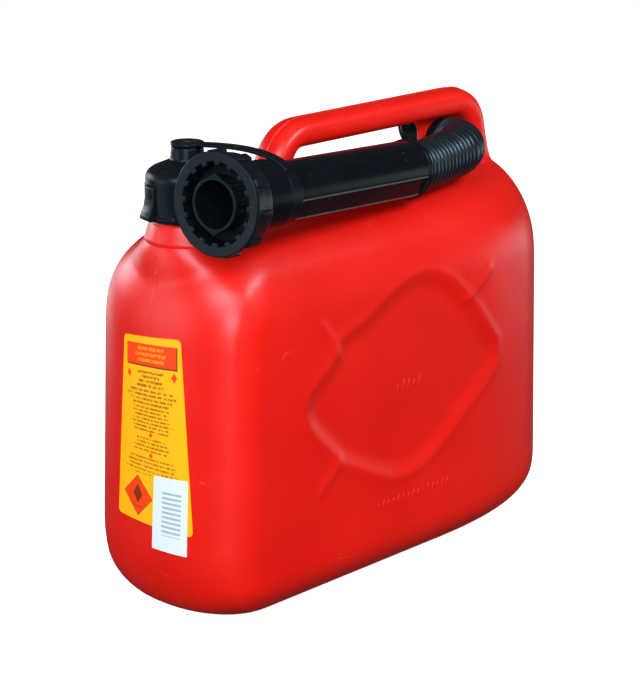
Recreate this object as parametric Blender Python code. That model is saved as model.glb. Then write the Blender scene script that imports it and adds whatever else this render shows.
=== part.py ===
# A five-litre plastic fuel can: a hollow blow-moulded body with its handle, a screw cap on the neck,
# and a flexible pouring spout stowed beside the handle, its tip through a web at the back of the window.
# Metres, +Z up. The origin is the middle of the base, the neck is towards -X and the spout towards -Y.

import math

import bmesh
import bpy
from mathutils import Matrix, Vector

# Fit between pieces
touch_gap = 0.0003

# Vessel
body_length = 0.299
body_width = 0.112
ridge_height = 0.205
wall = 0.0022
side_base_round = 0.020
side_draft = 0.004
front_base_rise = 0.0385
front_base_inset = 0.016
rear_base_rise = 0.028
rear_base_inset = 0.0335
base_power = 2.0
nose_depth = 0.031
nose_power = 2.2
tail_depth = 0.105
tail_power = 2.4
front_lean = 0.040
rear_lean = 0.030
front_shoulder_rise = 0.058
front_shoulder_run = 0.042
rear_shoulder_rise = 0.062
rear_shoulder_run = 0.0285
crown_rise = 0.049
crown_power = 2.15

# Neck and its thread
neck_from_front = 0.034
neck_x = neck_from_front - body_length / 2
neck_core_radius = 0.0186
neck_bore_radius = 0.0155
neck_bore_depth = 0.040
neck_bead_radius = 0.0200
neck_front_radius = 0.0190
neck_side_radius = 0.0200
neck_flare_slope = 0.80
neck_flare_drop = 0.016
neck_bury = 0.030
bead_drop = 0.0015
bead_rise = 0.0024
neck_edge = 0.0006
neck_above_bead = 0.0253
thread_start = 0.0066
thread_pitch = 0.004
thread_reach = 0.0014
thread_root_half = 0.0010
thread_crest_half = 0.0004
thread_faded = 0.12
thread_turns = 3.0
thread_clearance = 0.0004

# Handle and the window under its grip
grip_rise = 0.0426
grip_thickness = 0.0155
grip_width = 0.0213
grip_power = 2.67
foot_width = 0.028
foot_spread_rise = 0.012
foot_spread = 0.020
window_from_neck = 0.0722
window_from_rear = 0.051
window_front = neck_x + window_from_neck
window_rear = body_length / 2 - window_from_rear
window_front_slope = 0.30
window_rear_slope = 0.065
window_front_round = 0.007
window_rear_round = 0.011
front_leg = 0.0066
front_leg_slope = 0.56
front_corner_round = 0.0285
rear_leg = 0.0108
rear_leg_slope = 0.25
rear_corner_round = 0.025
foot_sink = 0.018
web_thickness = 0.0036
web_width = 0.0345
web_fillet = 0.007

# Cap
cap_wall = 0.0014
cap_lift_off = 0.0019
cap_rim_reach = 0.0008
cap_rim_height = 0.0027
cap_top_thickness = 0.0020
cap_shoulder = 0.0030
cone_rise = 0.0045
boss_radius = 0.0082
boss_height = 0.0065
boss_bore_radius = 0.0068
peg_radius = 0.0035
peg_height = 0.0015
gasket_thickness = 0.0018
cap_lug_reach = 0.0028
cap_lug_width = 0.0070
cap_lug_angle = 154.0
cap_thread_turns = 2.0
cap_thread_top_turn = 2.5
cap_rib_reach = 0.0010
cap_rib_width = 0.0022
cap_rib_drop = 0.0075
cap_rib_count = 8

# Spout tube, from the middle of the collar's front face to the tube's rear end
spout_front_ahead = 0.0315
spout_front_aside = 0.0518
spout_front_rise = 0.0220
spout_rear_ahead = 0.0807
spout_rear_aside = 0.0327
spout_rear_rise = 0.0112
spout_front = Vector((neck_x - spout_front_ahead, -spout_front_aside, ridge_height + spout_front_rise))
spout_rear = Vector((window_rear - spout_rear_ahead, -spout_rear_aside, ridge_height + spout_rear_rise))
tube_radius = 0.0158
tube_bore_radius = 0.0130
mouth_radius = 0.0136
mouth_bore_radius = 0.0118
mouth_proud = 0.0010
nib_height = 0.0011
nib_length = 0.0085
root_radius = 0.01825
root_length = 0.0248
tube_lip_width = 0.0012
tube_lip_reach = 0.0004
flange_radius = 0.0201
flange_thickness = 0.0023

# Collar that screws the spout on the neck
collar_length = 0.0150
collar_bore_radius = neck_core_radius + thread_reach + thread_clearance + touch_gap
collar_wall = 0.0055
collar_back = 0.0027
collar_rim_width = 0.0022
collar_taper = 0.0019
tooth_count = 16
tooth_reach = 0.0017
tooth_width = 0.0032
tooth_length = 0.0028
grip_bar_count = 10
grip_bar_first_angle = 24.0
grip_bar_reach = 0.0004
grip_bar_width = 0.0046
collar_thread_turns = 0.75

# Strap from the cap to the spout
strap_thickness = 0.0020
strap_band_thickness = 0.0019
strap_width = 0.0072
strap_eye_wall = 0.0042
strap_ring_width = 0.0085
strap_ring_wall = 0.0013
strap_landing_angle = -38.0
strap_start_pull = 0.45
strap_landing_pull = 0.25
strap_arch = 0.0020

# Bellows and the nozzle behind it
bellows_crest_radius = 0.0142
bellows_valley_radius = 0.0131
bellows_bore_radius = 0.0116
bellows_straight = 0.0455
bellows_bend_radius = 0.0192
bellows_cuff = 0.0060
bellows_end_band = 0.0030
nozzle_rise = 0.0031
bellows_rib_count = 20
bellows_crest_share = 0.40
bellows_valley_share = 0.75
nozzle_base_radius = 0.0120
nozzle_tip_radius = 0.0100
nozzle_wall = 0.0020
nozzle_cuff = 0.0110
nozzle_length = 0.0330

# Stickers on the front face
label_skin = 0.0004
front_label_top_width = 0.041
front_label_base_width = 0.054
front_label_height = 0.1004
front_label_aside = 0.0025
front_label_rise = 0.00685
small_label_width = 0.0225
small_label_height = 0.0403
small_label_aside = 0.0163
small_label_drop = 0.0420

# Facets
body_turn = 10
neck_sides = 48
thread_steps = 32
tube_sides = 32
bellows_sides = 16
sticker_columns = 13
sticker_rows = 13

# What follows from those sizes
grip_top = ridge_height + grip_rise
grip_under = grip_top - grip_thickness
bead_bottom = ridge_height - bead_drop
neck_top = bead_bottom + neck_above_bead
bead_top = bead_bottom + bead_rise
thread_bottom = bead_top + thread_start
cap_inner_radius = neck_core_radius + thread_reach + thread_clearance
cap_radius = cap_inner_radius + cap_wall
cap_bottom = bead_top + cap_lift_off
cap_ceiling = neck_top + touch_gap + gasket_thickness + touch_gap
cap_shoulder_base = cap_ceiling + cap_top_thickness - cap_shoulder
cone_base = cap_shoulder_base + cap_shoulder
cap_rib_top = cone_base - cap_rib_drop
boss_base = cone_base + cone_rise
boss_top = boss_base + boss_height
collar_radius = collar_bore_radius + collar_wall
spout_axis = (spout_rear - spout_front).normalized()
spout_length = (spout_rear - spout_front).length
flange_back = collar_length - collar_back - touch_gap
flange_front = flange_back - flange_thickness
root_end = collar_length + root_length
web_front = window_rear - web_width
front_label_z = (front_base_rise + ridge_height - front_shoulder_rise) / 2 + front_label_rise
small_label_z = front_label_z - small_label_drop


def clear_scene():
    for old in list(bpy.data.objects):
        bpy.data.objects.remove(old, do_unlink=True)


def plastic(name, colour, roughness):
    material = bpy.data.materials.new(name)
    material.use_nodes = True
    shader = material.node_tree.nodes["Principled BSDF"]
    shader.inputs["Base Color"].default_value = (*colour, 1.0)
    shader.inputs["Roughness"].default_value = roughness
    shader.inputs["Metallic"].default_value = 0.0
    return material


def mesh_object(name, bm, material=None, smooth_angle=35):
    bmesh.ops.remove_doubles(bm, verts=bm.verts, dist=1e-6)
    bmesh.ops.recalc_face_normals(bm, faces=bm.faces)
    mesh = bpy.data.meshes.new(name)
    bm.to_mesh(mesh)
    bm.free()
    mesh.shade_smooth()
    mesh.set_sharp_from_angle(angle=math.radians(smooth_angle))
    thing = bpy.data.objects.new(name, mesh)
    bpy.context.scene.collection.objects.link(thing)
    if material:
        thing.data.materials.append(material)
    return thing


def join_rings(bm, rings, ends=True, closed=False):
    # Each ring is a loop of as many points; closed joins the last ring to the first, as on a tube's wall.
    loops = [[bm.verts.new(point) for point in ring] for ring in rings]
    pairs = list(zip(loops, loops[1:]))
    if closed:
        pairs.append((loops[-1], loops[0]))
    for low, high in pairs:
        for i in range(len(low)):
            j = (i + 1) % len(low)
            bm.faces.new((low[i], low[j], high[j], high[i]))
    if ends and not closed:
        bm.faces.new(loops[0])
        bm.faces.new(loops[-1])
    return loops


def turned(profile, sides, closed=True):
    # A profile of (radius, height) points turned about Z; closed makes a ring with a bore.
    bm = bmesh.new()
    rings = []
    for radius, height in profile:
        angles = [2 * math.pi * i / sides for i in range(sides)]
        rings.append([Vector((radius * math.cos(a), radius * math.sin(a), height)) for a in angles])
    join_rings(bm, rings, closed=closed)
    return bm


def thread_ridge(root, crest, bottom, turns):
    # A right-handed ridge of thread, fading into its wall over the first and last quarter turn.
    bm = bmesh.new()
    steps = round(thread_steps * turns)
    rings = []
    for i in range(steps + 1):
        angle = 2 * math.pi * i / thread_steps
        fade = min(1.0, 4 * i / thread_steps, 4 * (steps - i) / thread_steps)
        top = root + (crest - root) * (thread_faded + (1 - thread_faded) * fade)
        z = bottom + thread_pitch * i / thread_steps
        half, tip = thread_root_half, thread_crest_half
        section = [(root, z - half), (top, z - tip), (top, z + tip), (root, z + half)]
        rings.append([Vector((r * math.cos(angle), r * math.sin(angle), h)) for r, h in section])
    join_rings(bm, rings)
    return bm


def cutter(thing):
    thing.hide_render = True
    thing.display_type = "WIRE"
    return thing


def combine(target, other, operation):
    step = target.modifiers.new(f"{operation.title()} {other.name}", "BOOLEAN")
    step.operation = operation
    step.object = cutter(other)


def spread(first, last, count):
    return [first + (last - first) * i / (count - 1) for i in range(count)]


# Vessel outline at a height. Inset moves the whole skin inwards, for the inside of the wall.
def arc_inset(height, rise, inset, power):
    share = min(1.0, max(0.0, (rise - height) / rise))
    return inset * (1 - (1 - share**power) ** (1 / power))


def front_face_x(z):
    x = -body_length / 2 + front_lean * max(0.0, z - front_base_rise)
    x += arc_inset(z, front_base_rise, front_base_inset, base_power)
    return x + arc_inset(ridge_height - z, front_shoulder_rise, front_shoulder_run, crown_power)


def rear_face_x(z):
    x = body_length / 2 - rear_lean * z - arc_inset(z, rear_base_rise, rear_base_inset, base_power)
    return x - arc_inset(ridge_height - z, rear_shoulder_rise, rear_shoulder_run, crown_power)


def half_width(z):
    side = body_width / 2 - side_draft * z - arc_inset(z, side_base_round, side_base_round, base_power)
    return side - arc_inset(ridge_height - z, crown_rise, side, crown_power)


def vessel_ring(z, inset):
    real = min(ridge_height, max(0.0, z))
    half = half_width(real) * (1 - 2 * inset / body_width)
    front = front_face_x(real) + inset
    rear = rear_face_x(real) - inset
    near = []
    for i in range(body_turn + 1):
        turn = math.pi / 2 * i / body_turn
        x = front + nose_depth * (1 - math.cos(turn) ** (2 / nose_power))
        near.append((x, half * math.sin(turn) ** (2 / nose_power)))
    for i in range(body_turn + 1):
        turn = math.pi / 2 * (1 - i / body_turn)
        x = rear - tail_depth * (1 - math.cos(turn) ** (2 / tail_power))
        near.append((x, half * math.sin(turn) ** (2 / tail_power)))
    ring = [Vector((x, -y, z)) for x, y in near]
    return ring + [Vector((x, y, z)) for x, y in reversed(near[1:-1])]


def vessel_heights():
    low = [side_base_round * (1 - math.cos(math.pi / 2 * i / 4)) for i in range(5)]
    side = spread(side_base_round, ridge_height - crown_rise, 6)[1:]
    crown = [ridge_height - crown_rise * (1 - math.sin(math.pi / 2 * i / 9)) for i in range(1, 10)]
    return low + side + crown


def vessel(name, inset):
    bm = bmesh.new()
    rings = []
    squeeze = (ridge_height - 2 * inset) / ridge_height
    for z in vessel_heights():
        ring = vessel_ring(z, inset)
        for point in ring:
            point.z = inset + z * squeeze
        rings.append(ring)
    loops = join_rings(bm, rings, ends=False)
    bm.faces.new(loops[0])
    return mesh_object(name, bm)


# Handle: an outer and an inner outline with as many points each, and a rounded section between each pair.
def corner_arc(before, corner, after, radius, steps):
    # The round that replaces a corner between two straight runs, in the XZ plane.
    a = (before - corner).normalized()
    b = (after - corner).normalized()
    half = a.angle(b) / 2
    centre = corner + (a + b).normalized() * radius / math.sin(half)
    start = corner + a * radius / math.tan(half) - centre
    end = corner + b * radius / math.tan(half) - centre
    first = math.atan2(start.z, start.x)
    turn = (math.atan2(end.z, end.x) - first + math.pi) % (2 * math.pi) - math.pi
    angles = [first + turn * i / steps for i in range(steps + 1)]
    return [centre + radius * Vector((math.cos(t), 0, math.sin(t))) for t in angles]


def rounded_path(corners, rounds, leg_steps=5, arc_steps=5, grip_steps=4):
    foot, front, rear, heel = corners
    first = corner_arc(foot, front, rear, rounds[0], arc_steps)
    last = corner_arc(front, rear, heel, rounds[1], arc_steps)
    points = [foot.lerp(first[0], i / leg_steps) for i in range(leg_steps)] + first
    points += [first[-1].lerp(last[0], i / grip_steps) for i in range(1, grip_steps)] + last
    return points + [last[-1].lerp(heel, i / leg_steps) for i in range(1, leg_steps + 1)]


def flat(x, z):
    return Vector((x, 0.0, z))


def handle_pairs():
    foot = ridge_height - foot_sink
    front_top = window_front - front_leg
    rear_top = window_rear + rear_leg
    rise = grip_top - foot
    drop = grip_under - foot
    outer = rounded_path(
        [
            flat(front_top - front_leg_slope * rise, foot),
            flat(front_top, grip_top),
            flat(rear_top, grip_top),
            flat(rear_top + rear_leg_slope * rise, foot),
        ],
        [front_corner_round, rear_corner_round],
    )
    inner = rounded_path(
        [
            flat(window_front - window_front_slope * drop, foot),
            flat(window_front, grip_under),
            flat(window_rear, grip_under),
            flat(window_rear + window_rear_slope * drop, foot),
        ],
        [window_front_round, window_rear_round],
    )
    return list(zip(outer, inner))


def handle(name, inset, sides):
    bm = bmesh.new()
    rings = []
    for outer, inner in handle_pairs():
        across = (inner - outer).normalized()
        height = (inner - outer).length / 2 - inset
        middle = (outer + inner) / 2
        low = min(1.0, max(0.0, (ridge_height + foot_spread_rise - middle.z) / foot_spread))
        width = (grip_width + (foot_width - grip_width) * low * low) / 2 - inset
        ring = []
        for i in range(sides):
            turn = 2 * math.pi * (i + 0.5) / sides
            up = math.copysign(abs(math.cos(turn)) ** (2 / grip_power), math.cos(turn))
            side = math.copysign(abs(math.sin(turn)) ** (2 / grip_power), math.sin(turn))
            ring.append(middle + across * height * up + Vector((0, width * side, 0)))
        rings.append(ring)
    join_rings(bm, rings)
    return mesh_object(name, bm)


def web_plate(name):
    # The pinched web behind the hand hole, at the parting plane, its front edge running into the grip.
    bm = bmesh.new()
    bury = wall / 2
    top = grip_under + bury
    low = ridge_height - bury
    rear = window_rear + window_rear_slope * (grip_under - low) + bury
    arc = [math.pi / 2 * i / 5 for i in range(6)]
    edge = [
        (web_front - web_fillet * (1 - math.cos(a)), grip_under - web_fillet * (1 - math.sin(a)))
        for a in arc
    ]
    outline = [(web_front, low)] + edge + [(edge[-1][0], top), (rear, top), (rear, low)]
    faces = [[Vector((x, side * web_thickness / 2, z)) for x, z in outline] for side in (-1, 1)]
    join_rings(bm, faces)
    return mesh_object(name, bm)


def neck_solid(name):
    # Below the bead it flares to the sides and the rear, and its front runs straight down into the face.
    flared = neck_side_radius + neck_flare_slope * neck_flare_drop
    profile = [
        (flared, bead_bottom - neck_bury),
        (flared, bead_bottom - neck_flare_drop),
        (neck_side_radius, bead_bottom),
        (neck_bead_radius, bead_top),
        (neck_core_radius, bead_top + neck_edge),
        (neck_core_radius, neck_top - neck_edge),
        (neck_core_radius - neck_edge, neck_top),
    ]
    rings = []
    for radius, z in profile:
        front = min(radius, neck_front_radius) if z < bead_bottom + bead_rise / 2 else radius
        ring = []
        for i in range(neck_sides):
            turn = 2 * math.pi * i / neck_sides
            reach = radius if math.cos(turn) > 0 else front
            ring.append(Vector((neck_x + reach * math.cos(turn), radius * math.sin(turn), z)))
        rings.append(ring)
    bm = bmesh.new()
    join_rings(bm, rings)
    return mesh_object(name, bm)


def body(material):
    thing = vessel("body", 0.0)
    thing.data.materials.append(material)
    combine(thing, handle("handle_outside", 0.0, 16), "UNION")
    combine(thing, neck_solid("neck_outside"), "UNION")
    combine(thing, web_plate("web"), "UNION")
    thread = mesh_object(
        "neck_thread",
        thread_ridge(neck_core_radius - 0.0004, neck_core_radius + thread_reach, thread_bottom, thread_turns),
    )
    thread.location.x = neck_x
    combine(thing, thread, "UNION")
    combine(thing, vessel("vessel_inside", wall), "DIFFERENCE")
    combine(thing, handle("handle_inside", wall, 12), "DIFFERENCE")
    past = neck_top + neck_bead_radius
    bore = mesh_object(
        "neck_bore",
        turned([(neck_bore_radius, bead_bottom - neck_bore_depth), (neck_bore_radius, past)], tube_sides, False),
    )
    bore.location.x = neck_x
    combine(thing, bore, "DIFFERENCE")
    rim = nozzle_base_radius + touch_gap
    hole = mesh_object("web_hole", turned([(rim, -web_thickness), (rim, web_thickness)], tube_sides, False))
    hole.rotation_euler.x = -math.pi / 2
    middle, _ = bellows_path_point(bellows_length())
    hole.location = (middle.x, 0.0, middle.z)
    combine(thing, hole, "DIFFERENCE")
    return thing


def radial_blocks(outline, width, angles):
    # One block at each angle about Z: an outline of (radius, height) points, extruded across its radius.
    bm = bmesh.new()
    for angle in angles:
        out = Vector((math.cos(angle), math.sin(angle), 0))
        side = Vector((-math.sin(angle), math.cos(angle), 0)) * width / 2
        faces = [[out * r + Vector((0, 0, z)) + side * way for r, z in outline] for way in (-1, 1)]
        join_rings(bm, faces)
    return bm


def cap(material):
    arc = [math.pi / 2 * i / 4 for i in range(5)]
    rim_top = cap_bottom + cap_rim_height
    profile = [
        (boss_bore_radius, boss_top - cap_wall),
        (boss_bore_radius, cap_ceiling),
        (cap_inner_radius, cap_ceiling),
        (cap_inner_radius, cap_bottom),
        (cap_radius + cap_rim_reach, cap_bottom),
        (cap_radius + cap_rim_reach, rim_top),
        (cap_radius, rim_top + cap_rim_reach / 2),
    ]
    profile += [
        (cap_radius - cap_shoulder * (1 - math.cos(a)) / 2, cap_shoulder_base + cap_shoulder * math.sin(a))
        for a in arc
    ]
    profile += [
        (boss_radius, boss_base),
        (boss_radius, boss_top),
        (peg_radius, boss_top),
        (peg_radius, boss_top + peg_height),
    ]
    thing = mesh_object("cap", turned(profile, neck_sides, closed=False), material)
    thing.location = (neck_x, 0, 0)
    low = cap_bottom + cap_rim_height / 2
    bury = cap_wall / 2
    first = math.radians(cap_lug_angle)
    step = 2 * math.pi / cap_rib_count
    ribs = [first + step * i for i in range(cap_rib_count) if i % (cap_rib_count // 2)]
    lugs = [first, first + math.pi]
    rib = [
        (cap_radius - bury, low),
        (cap_radius + cap_rib_reach, low),
        (cap_radius + cap_rib_reach, cap_rib_top - cap_rib_reach),
        (cap_radius - bury, cap_rib_top),
    ]
    lug = [
        (cap_radius - bury, cap_bottom + cap_rim_reach),
        (cap_radius + cap_lug_reach * 0.75, cap_bottom + cap_rim_reach),
        (cap_radius + cap_lug_reach, cap_bottom + cap_rim_height),
        (cap_radius + cap_lug_reach, cap_bottom + 2 * cap_rim_height),
        (cap_radius + cap_rib_reach, cap_bottom + 4 * cap_rim_height),
        (cap_radius + cap_rib_reach, cap_rib_top),
        (cap_radius - bury, cap_rib_top + cap_rib_reach),
    ]
    top_of_thread = thread_bottom + thread_pitch * cap_thread_top_turn
    pieces = [
        mesh_object("cap_ribs", radial_blocks(rib, cap_rib_width, ribs)),
        mesh_object("cap_lugs", radial_blocks(lug, cap_lug_width, lugs)),
        mesh_object(
            "cap_thread",
            thread_ridge(
                cap_inner_radius + bury / 2,
                cap_inner_radius - thread_reach,
                top_of_thread - thread_pitch * cap_thread_turns,
                cap_thread_turns,
            ),
        ),
    ]
    for piece in pieces:
        piece.location = (neck_x, 0, 0)
        combine(thing, piece, "UNION")
    return thing


def cap_gasket(material):
    low = neck_top + touch_gap
    high = low + gasket_thickness
    outer = cap_inner_radius - touch_gap
    profile = [(neck_bore_radius, low), (outer, low), (outer, high), (neck_bore_radius, high)]
    thing = mesh_object("cap_gasket", turned(profile, tube_sides), material)
    thing.location = (neck_x, 0, 0)
    return thing


# The spout's own frame: local X runs from the middle of the collar's front face along the tube.
def spout_frame(along=0.0):
    back = spout_axis
    side = Vector((0, 0, 1)).cross(back).normalized()
    up = back.cross(side)
    turn = Matrix((back, side, up)).transposed().to_4x4()
    return Matrix.Translation(spout_front + back * along) @ turn


def lay_along_x(bm):
    bm.transform(Matrix.Rotation(math.pi / 2, 4, "Y"))
    return bm


def spout_tube(material):
    back = spout_length
    rim = tube_lip_reach
    profile = [
        (mouth_bore_radius, -mouth_proud),
        (mouth_radius, -mouth_proud),
        (mouth_radius, nib_length),
        (mouth_radius, flange_front),
        (flange_radius, flange_front),
        (flange_radius, flange_back),
        (root_radius, flange_back),
        (root_radius, root_end - rim),
        (root_radius - rim, root_end),
        (tube_radius, root_end),
        (tube_radius, back - tube_lip_width),
        (tube_radius + rim, back - tube_lip_width),
        (tube_radius + rim, back),
        (tube_bore_radius, back),
        (tube_bore_radius, root_end),
        (mouth_bore_radius, flange_back),
    ]
    bm = lay_along_x(turned(profile, tube_sides))
    for vert in bm.verts:
        # The mouth's two nibs, at the top and the bottom of its outer edge.
        out = math.hypot(vert.co.y, vert.co.z)
        if abs(vert.co.y) < rim and vert.co.x < nib_length - rim and out > mouth_radius - rim:
            vert.co.z += math.copysign(nib_height, vert.co.z)
    thing = mesh_object("spout_tube", bm, material)
    thing.matrix_world = spout_frame()
    return thing


def spout_gasket(material):
    back = flange_front - touch_gap
    front = back - gasket_thickness
    inner = mouth_radius + touch_gap
    outer = flange_radius - thread_reach
    profile = [(inner, front), (outer, front), (outer, back), (inner, back)]
    thing = mesh_object("spout_gasket", lay_along_x(turned(profile, tube_sides)), material)
    thing.matrix_world = spout_frame()
    return thing


def collar(material):
    round_off = 0.0010
    inner = collar_bore_radius
    hole = root_radius + touch_gap
    back = collar_length
    profile = [
        (inner, 0.0),
        (collar_radius - round_off, 0.0),
        (collar_radius, round_off),
        (collar_radius, collar_rim_width),
        (collar_radius - collar_taper, back - round_off),
        (collar_radius - collar_taper - round_off, back),
        (hole, back),
        (hole, back - collar_back),
        (inner, back - collar_back),
    ]
    thing = mesh_object("collar", lay_along_x(turned(profile, neck_sides)), material)
    thing.matrix_world = spout_frame()
    bury = collar_wall / 4
    low = round_off / 2
    tooth = [
        (inner + bury, low),
        (inner - tooth_reach, low),
        (inner - tooth_reach, low + tooth_length),
        (inner + bury, low + tooth_length),
    ]
    foot = collar_radius - collar_taper - bury
    bar = [
        (foot, collar_rim_width / 2),
        (collar_radius + grip_bar_reach, collar_rim_width / 2),
        (collar_radius + grip_bar_reach, back - collar_rim_width),
        (foot, back - collar_rim_width),
    ]
    turns = [2 * math.pi * i / tooth_count for i in range(tooth_count)]
    first = math.radians(grip_bar_first_angle)
    bars = [first + 2 * math.pi * i / grip_bar_count for i in range(grip_bar_count)]
    thread_low = low + tooth_length + thread_pitch / 2
    pieces = [
        mesh_object("collar_teeth", lay_along_x(radial_blocks(tooth, tooth_width, turns))),
        mesh_object("collar_bars", lay_along_x(radial_blocks(bar, grip_bar_width, bars))),
        mesh_object(
            "collar_thread",
            lay_along_x(thread_ridge(inner + bury / 2, inner - thread_reach, thread_low, collar_thread_turns)),
        ),
    ]
    for piece in pieces:
        piece.matrix_world = spout_frame()
        combine(thing, piece, "UNION")
    return thing


def strap(material):
    # The eye on the cap's peg, the band over the collar's root, and the ring round the tube.
    low = boss_top + touch_gap
    high = low + strap_thickness
    inner = peg_radius + touch_gap
    eye = [(inner, low), (inner + strap_eye_wall, low), (inner + strap_eye_wall, high), (inner, high)]
    thing = mesh_object("strap", turned(eye, tube_sides), material)
    thing.location = (neck_x, 0, 0)
    hole = tube_radius + touch_gap
    outside = hole + strap_ring_wall
    front = root_end + touch_gap
    back = front + strap_ring_width
    hoop = [(hole, front), (outside, front), (outside, back), (hole, back)]
    ring = mesh_object("strap_hoop", lay_along_x(turned(hoop, tube_sides)))
    ring.matrix_world = spout_frame()
    combine(thing, ring, "UNION")
    band = mesh_object("strap_band", strap_band(low, inner, hole, (front + back) / 2))
    combine(thing, band, "UNION")
    return thing


def strap_band(low, inner, hole, middle):
    landing = math.radians(strap_landing_angle)
    frame = spout_frame(middle)
    seat = hole + strap_ring_wall
    end = frame @ Vector((0, seat * math.sin(landing), seat * math.cos(landing)))
    over = frame.to_3x3() @ Vector((0, math.cos(landing), -math.sin(landing)))
    start = Vector((neck_x, 0, low + strap_thickness / 2))
    start += (end - start).normalized() * (inner + strap_eye_wall / 2)
    start.z = low + strap_thickness / 2
    run = (end - start).length
    ahead = Vector((end.x - start.x, end.y - start.y, 0)).normalized()
    leaving = start + ahead * run * strap_start_pull + Vector((0, 0, strap_arch))
    pull = [start, leaving, end + over * run * strap_landing_pull, end]
    across_start = ahead.cross(Vector((0, 0, 1)))
    across_end = -spout_axis
    if across_start.dot(across_end) < 0:
        across_start = -across_start
    bm = bmesh.new()
    rings = []
    for t in spread(0.0, 1.0, 11):
        a, b, c, d = pull
        point = a * (1 - t) ** 3 + b * 3 * t * (1 - t) ** 2 + c * 3 * t * t * (1 - t) + d * t ** 3
        along = (b - a) * (1 - t) ** 2 + (c - b) * 2 * t * (1 - t) + (d - c) * t * t
        along.normalize()
        across = across_start.lerp(across_end, t)
        across = (across - along * across.dot(along)).normalized()
        up = across.cross(along)
        half = across * strap_width / 2
        thick = up * strap_band_thickness / 2
        rings.append([point - half - thick, point + half - thick, point + half + thick, point - half + thick])
    join_rings(bm, rings)
    return bm


# The bellows' middle line: on along the tube, then a bend in plan until it runs across the can.
def bellows_length():
    return bellows_straight + bellows_bend_radius * (math.pi / 2 - math.atan2(spout_axis.y, spout_axis.x))


def bellows_path_point(run):
    heading = math.atan2(spout_axis.y, spout_axis.x)
    slope = spout_axis.z / math.hypot(spout_axis.x, spout_axis.y)
    if run <= 0:
        return spout_rear + spout_axis * run, spout_axis
    total = bellows_length()
    t = run / total
    bend = max(0.0, run - bellows_straight) / bellows_bend_radius
    before = min(run, bellows_straight)
    turn = heading + bend
    x = before * math.cos(heading) + bellows_bend_radius * (math.sin(turn) - math.sin(heading))
    y = before * math.sin(heading) + bellows_bend_radius * (math.cos(heading) - math.cos(turn))
    z = slope * total * t * (1 - t) ** 2 + nozzle_rise * t * t * (3 - 2 * t)
    steep = slope * (1 - t) * (1 - 3 * t) + nozzle_rise / total * 6 * t * (1 - t)
    point = Vector((spout_rear.x + x, spout_rear.y + y, spout_rear.z + z))
    return point, Vector((math.cos(turn), math.sin(turn), steep)).normalized()


def tube_ring(run, radius, sides):
    middle, along = bellows_path_point(run)
    side = Vector((0, 0, 1)).cross(along).normalized()
    up = along.cross(side)
    angles = [2 * math.pi * i / sides for i in range(sides)]
    return [middle + radius * (side * math.cos(a) + up * math.sin(a)) for a in angles]


def bellows(material):
    total = bellows_length()
    pitch = (total - touch_gap - bellows_end_band) / bellows_rib_count
    cuff_radius = tube_bore_radius - touch_gap
    outside = [(-bellows_cuff, cuff_radius), (0.0, cuff_radius), (touch_gap, bellows_crest_radius)]
    for rib in range(bellows_rib_count):
        start = touch_gap + rib * pitch
        crest, valley = start + pitch * bellows_crest_share, start + pitch * bellows_valley_share
        outside += [(crest, bellows_crest_radius), (valley, bellows_valley_radius)]
    outside += [(total - bellows_end_band, bellows_crest_radius), (total, bellows_crest_radius)]
    inside = [(run, bellows_bore_radius) for run in spread(total, -bellows_cuff, 16)]
    bm = bmesh.new()
    rings = [tube_ring(run, radius, bellows_sides) for run, radius in outside + inside]
    join_rings(bm, rings, closed=True)
    return mesh_object("bellows", bm, material, smooth_angle=50)


def nozzle(material):
    # Its own origin is the middle of the face where it meets the bellows; it slides out along -Y.
    step = nozzle_base_radius - nozzle_tip_radius
    profile = [
        (nozzle_base_radius - nozzle_wall, 0.0),
        (nozzle_base_radius, 0.0),
        (nozzle_base_radius, nozzle_cuff),
        (nozzle_base_radius - step / 2, nozzle_cuff + step),
        (nozzle_tip_radius, nozzle_length),
        (nozzle_tip_radius - nozzle_wall, nozzle_length),
    ]
    thing = mesh_object("nozzle", turned(profile, tube_sides), material)
    start, _ = bellows_path_point(bellows_length())
    start += Vector((0, touch_gap, 0))
    thing.matrix_world = Matrix.Translation(start) @ Matrix.Rotation(-math.pi / 2, 4, "X")
    return thing


def face_point(y, z, lift):
    # A point over the curved front face, lifted along the face's normal.
    def skin(y, z):
        share = min(0.999, abs(y) / half_width(z))
        back = nose_depth * (1 - (1 - share**nose_power) ** (1 / nose_power))
        return Vector((front_face_x(z) + back, y, z))

    tiny = 0.0005
    here = skin(y, z)
    across = skin(y + tiny, z) - skin(y - tiny, z)
    up = skin(y, z + tiny) - skin(y, z - tiny)
    return here + up.cross(across).normalized() * lift


def sticker(name, middle, base_width, top_width, height, lift, material):
    columns = spread(-0.5, 0.5, sticker_columns)
    rows = spread(0.0, 1.0, sticker_rows)

    def corner(column, row, level):
        width = base_width + (top_width - base_width) * row
        return face_point(middle.y + column * width, middle.z + (row - 0.5) * height, level)

    bm = bmesh.new()
    grids = [
        [[bm.verts.new(corner(column, row, level)) for column in columns] for row in rows]
        for level in (lift, lift + label_skin)
    ]
    for grid in grids:
        for low, high in zip(grid, grid[1:]):
            for i in range(len(columns) - 1):
                bm.faces.new((low[i], low[i + 1], high[i + 1], high[i]))
    inner, outer = [
        grid[0] + [row[-1] for row in grid[1:-1]] + grid[-1][::-1] + [row[0] for row in grid[-2:0:-1]]
        for grid in grids
    ]
    for i in range(len(inner)):
        j = (i + 1) % len(inner)
        bm.faces.new((inner[i], inner[j], outer[j], outer[i]))
    return mesh_object(name, bm, material)


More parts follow.
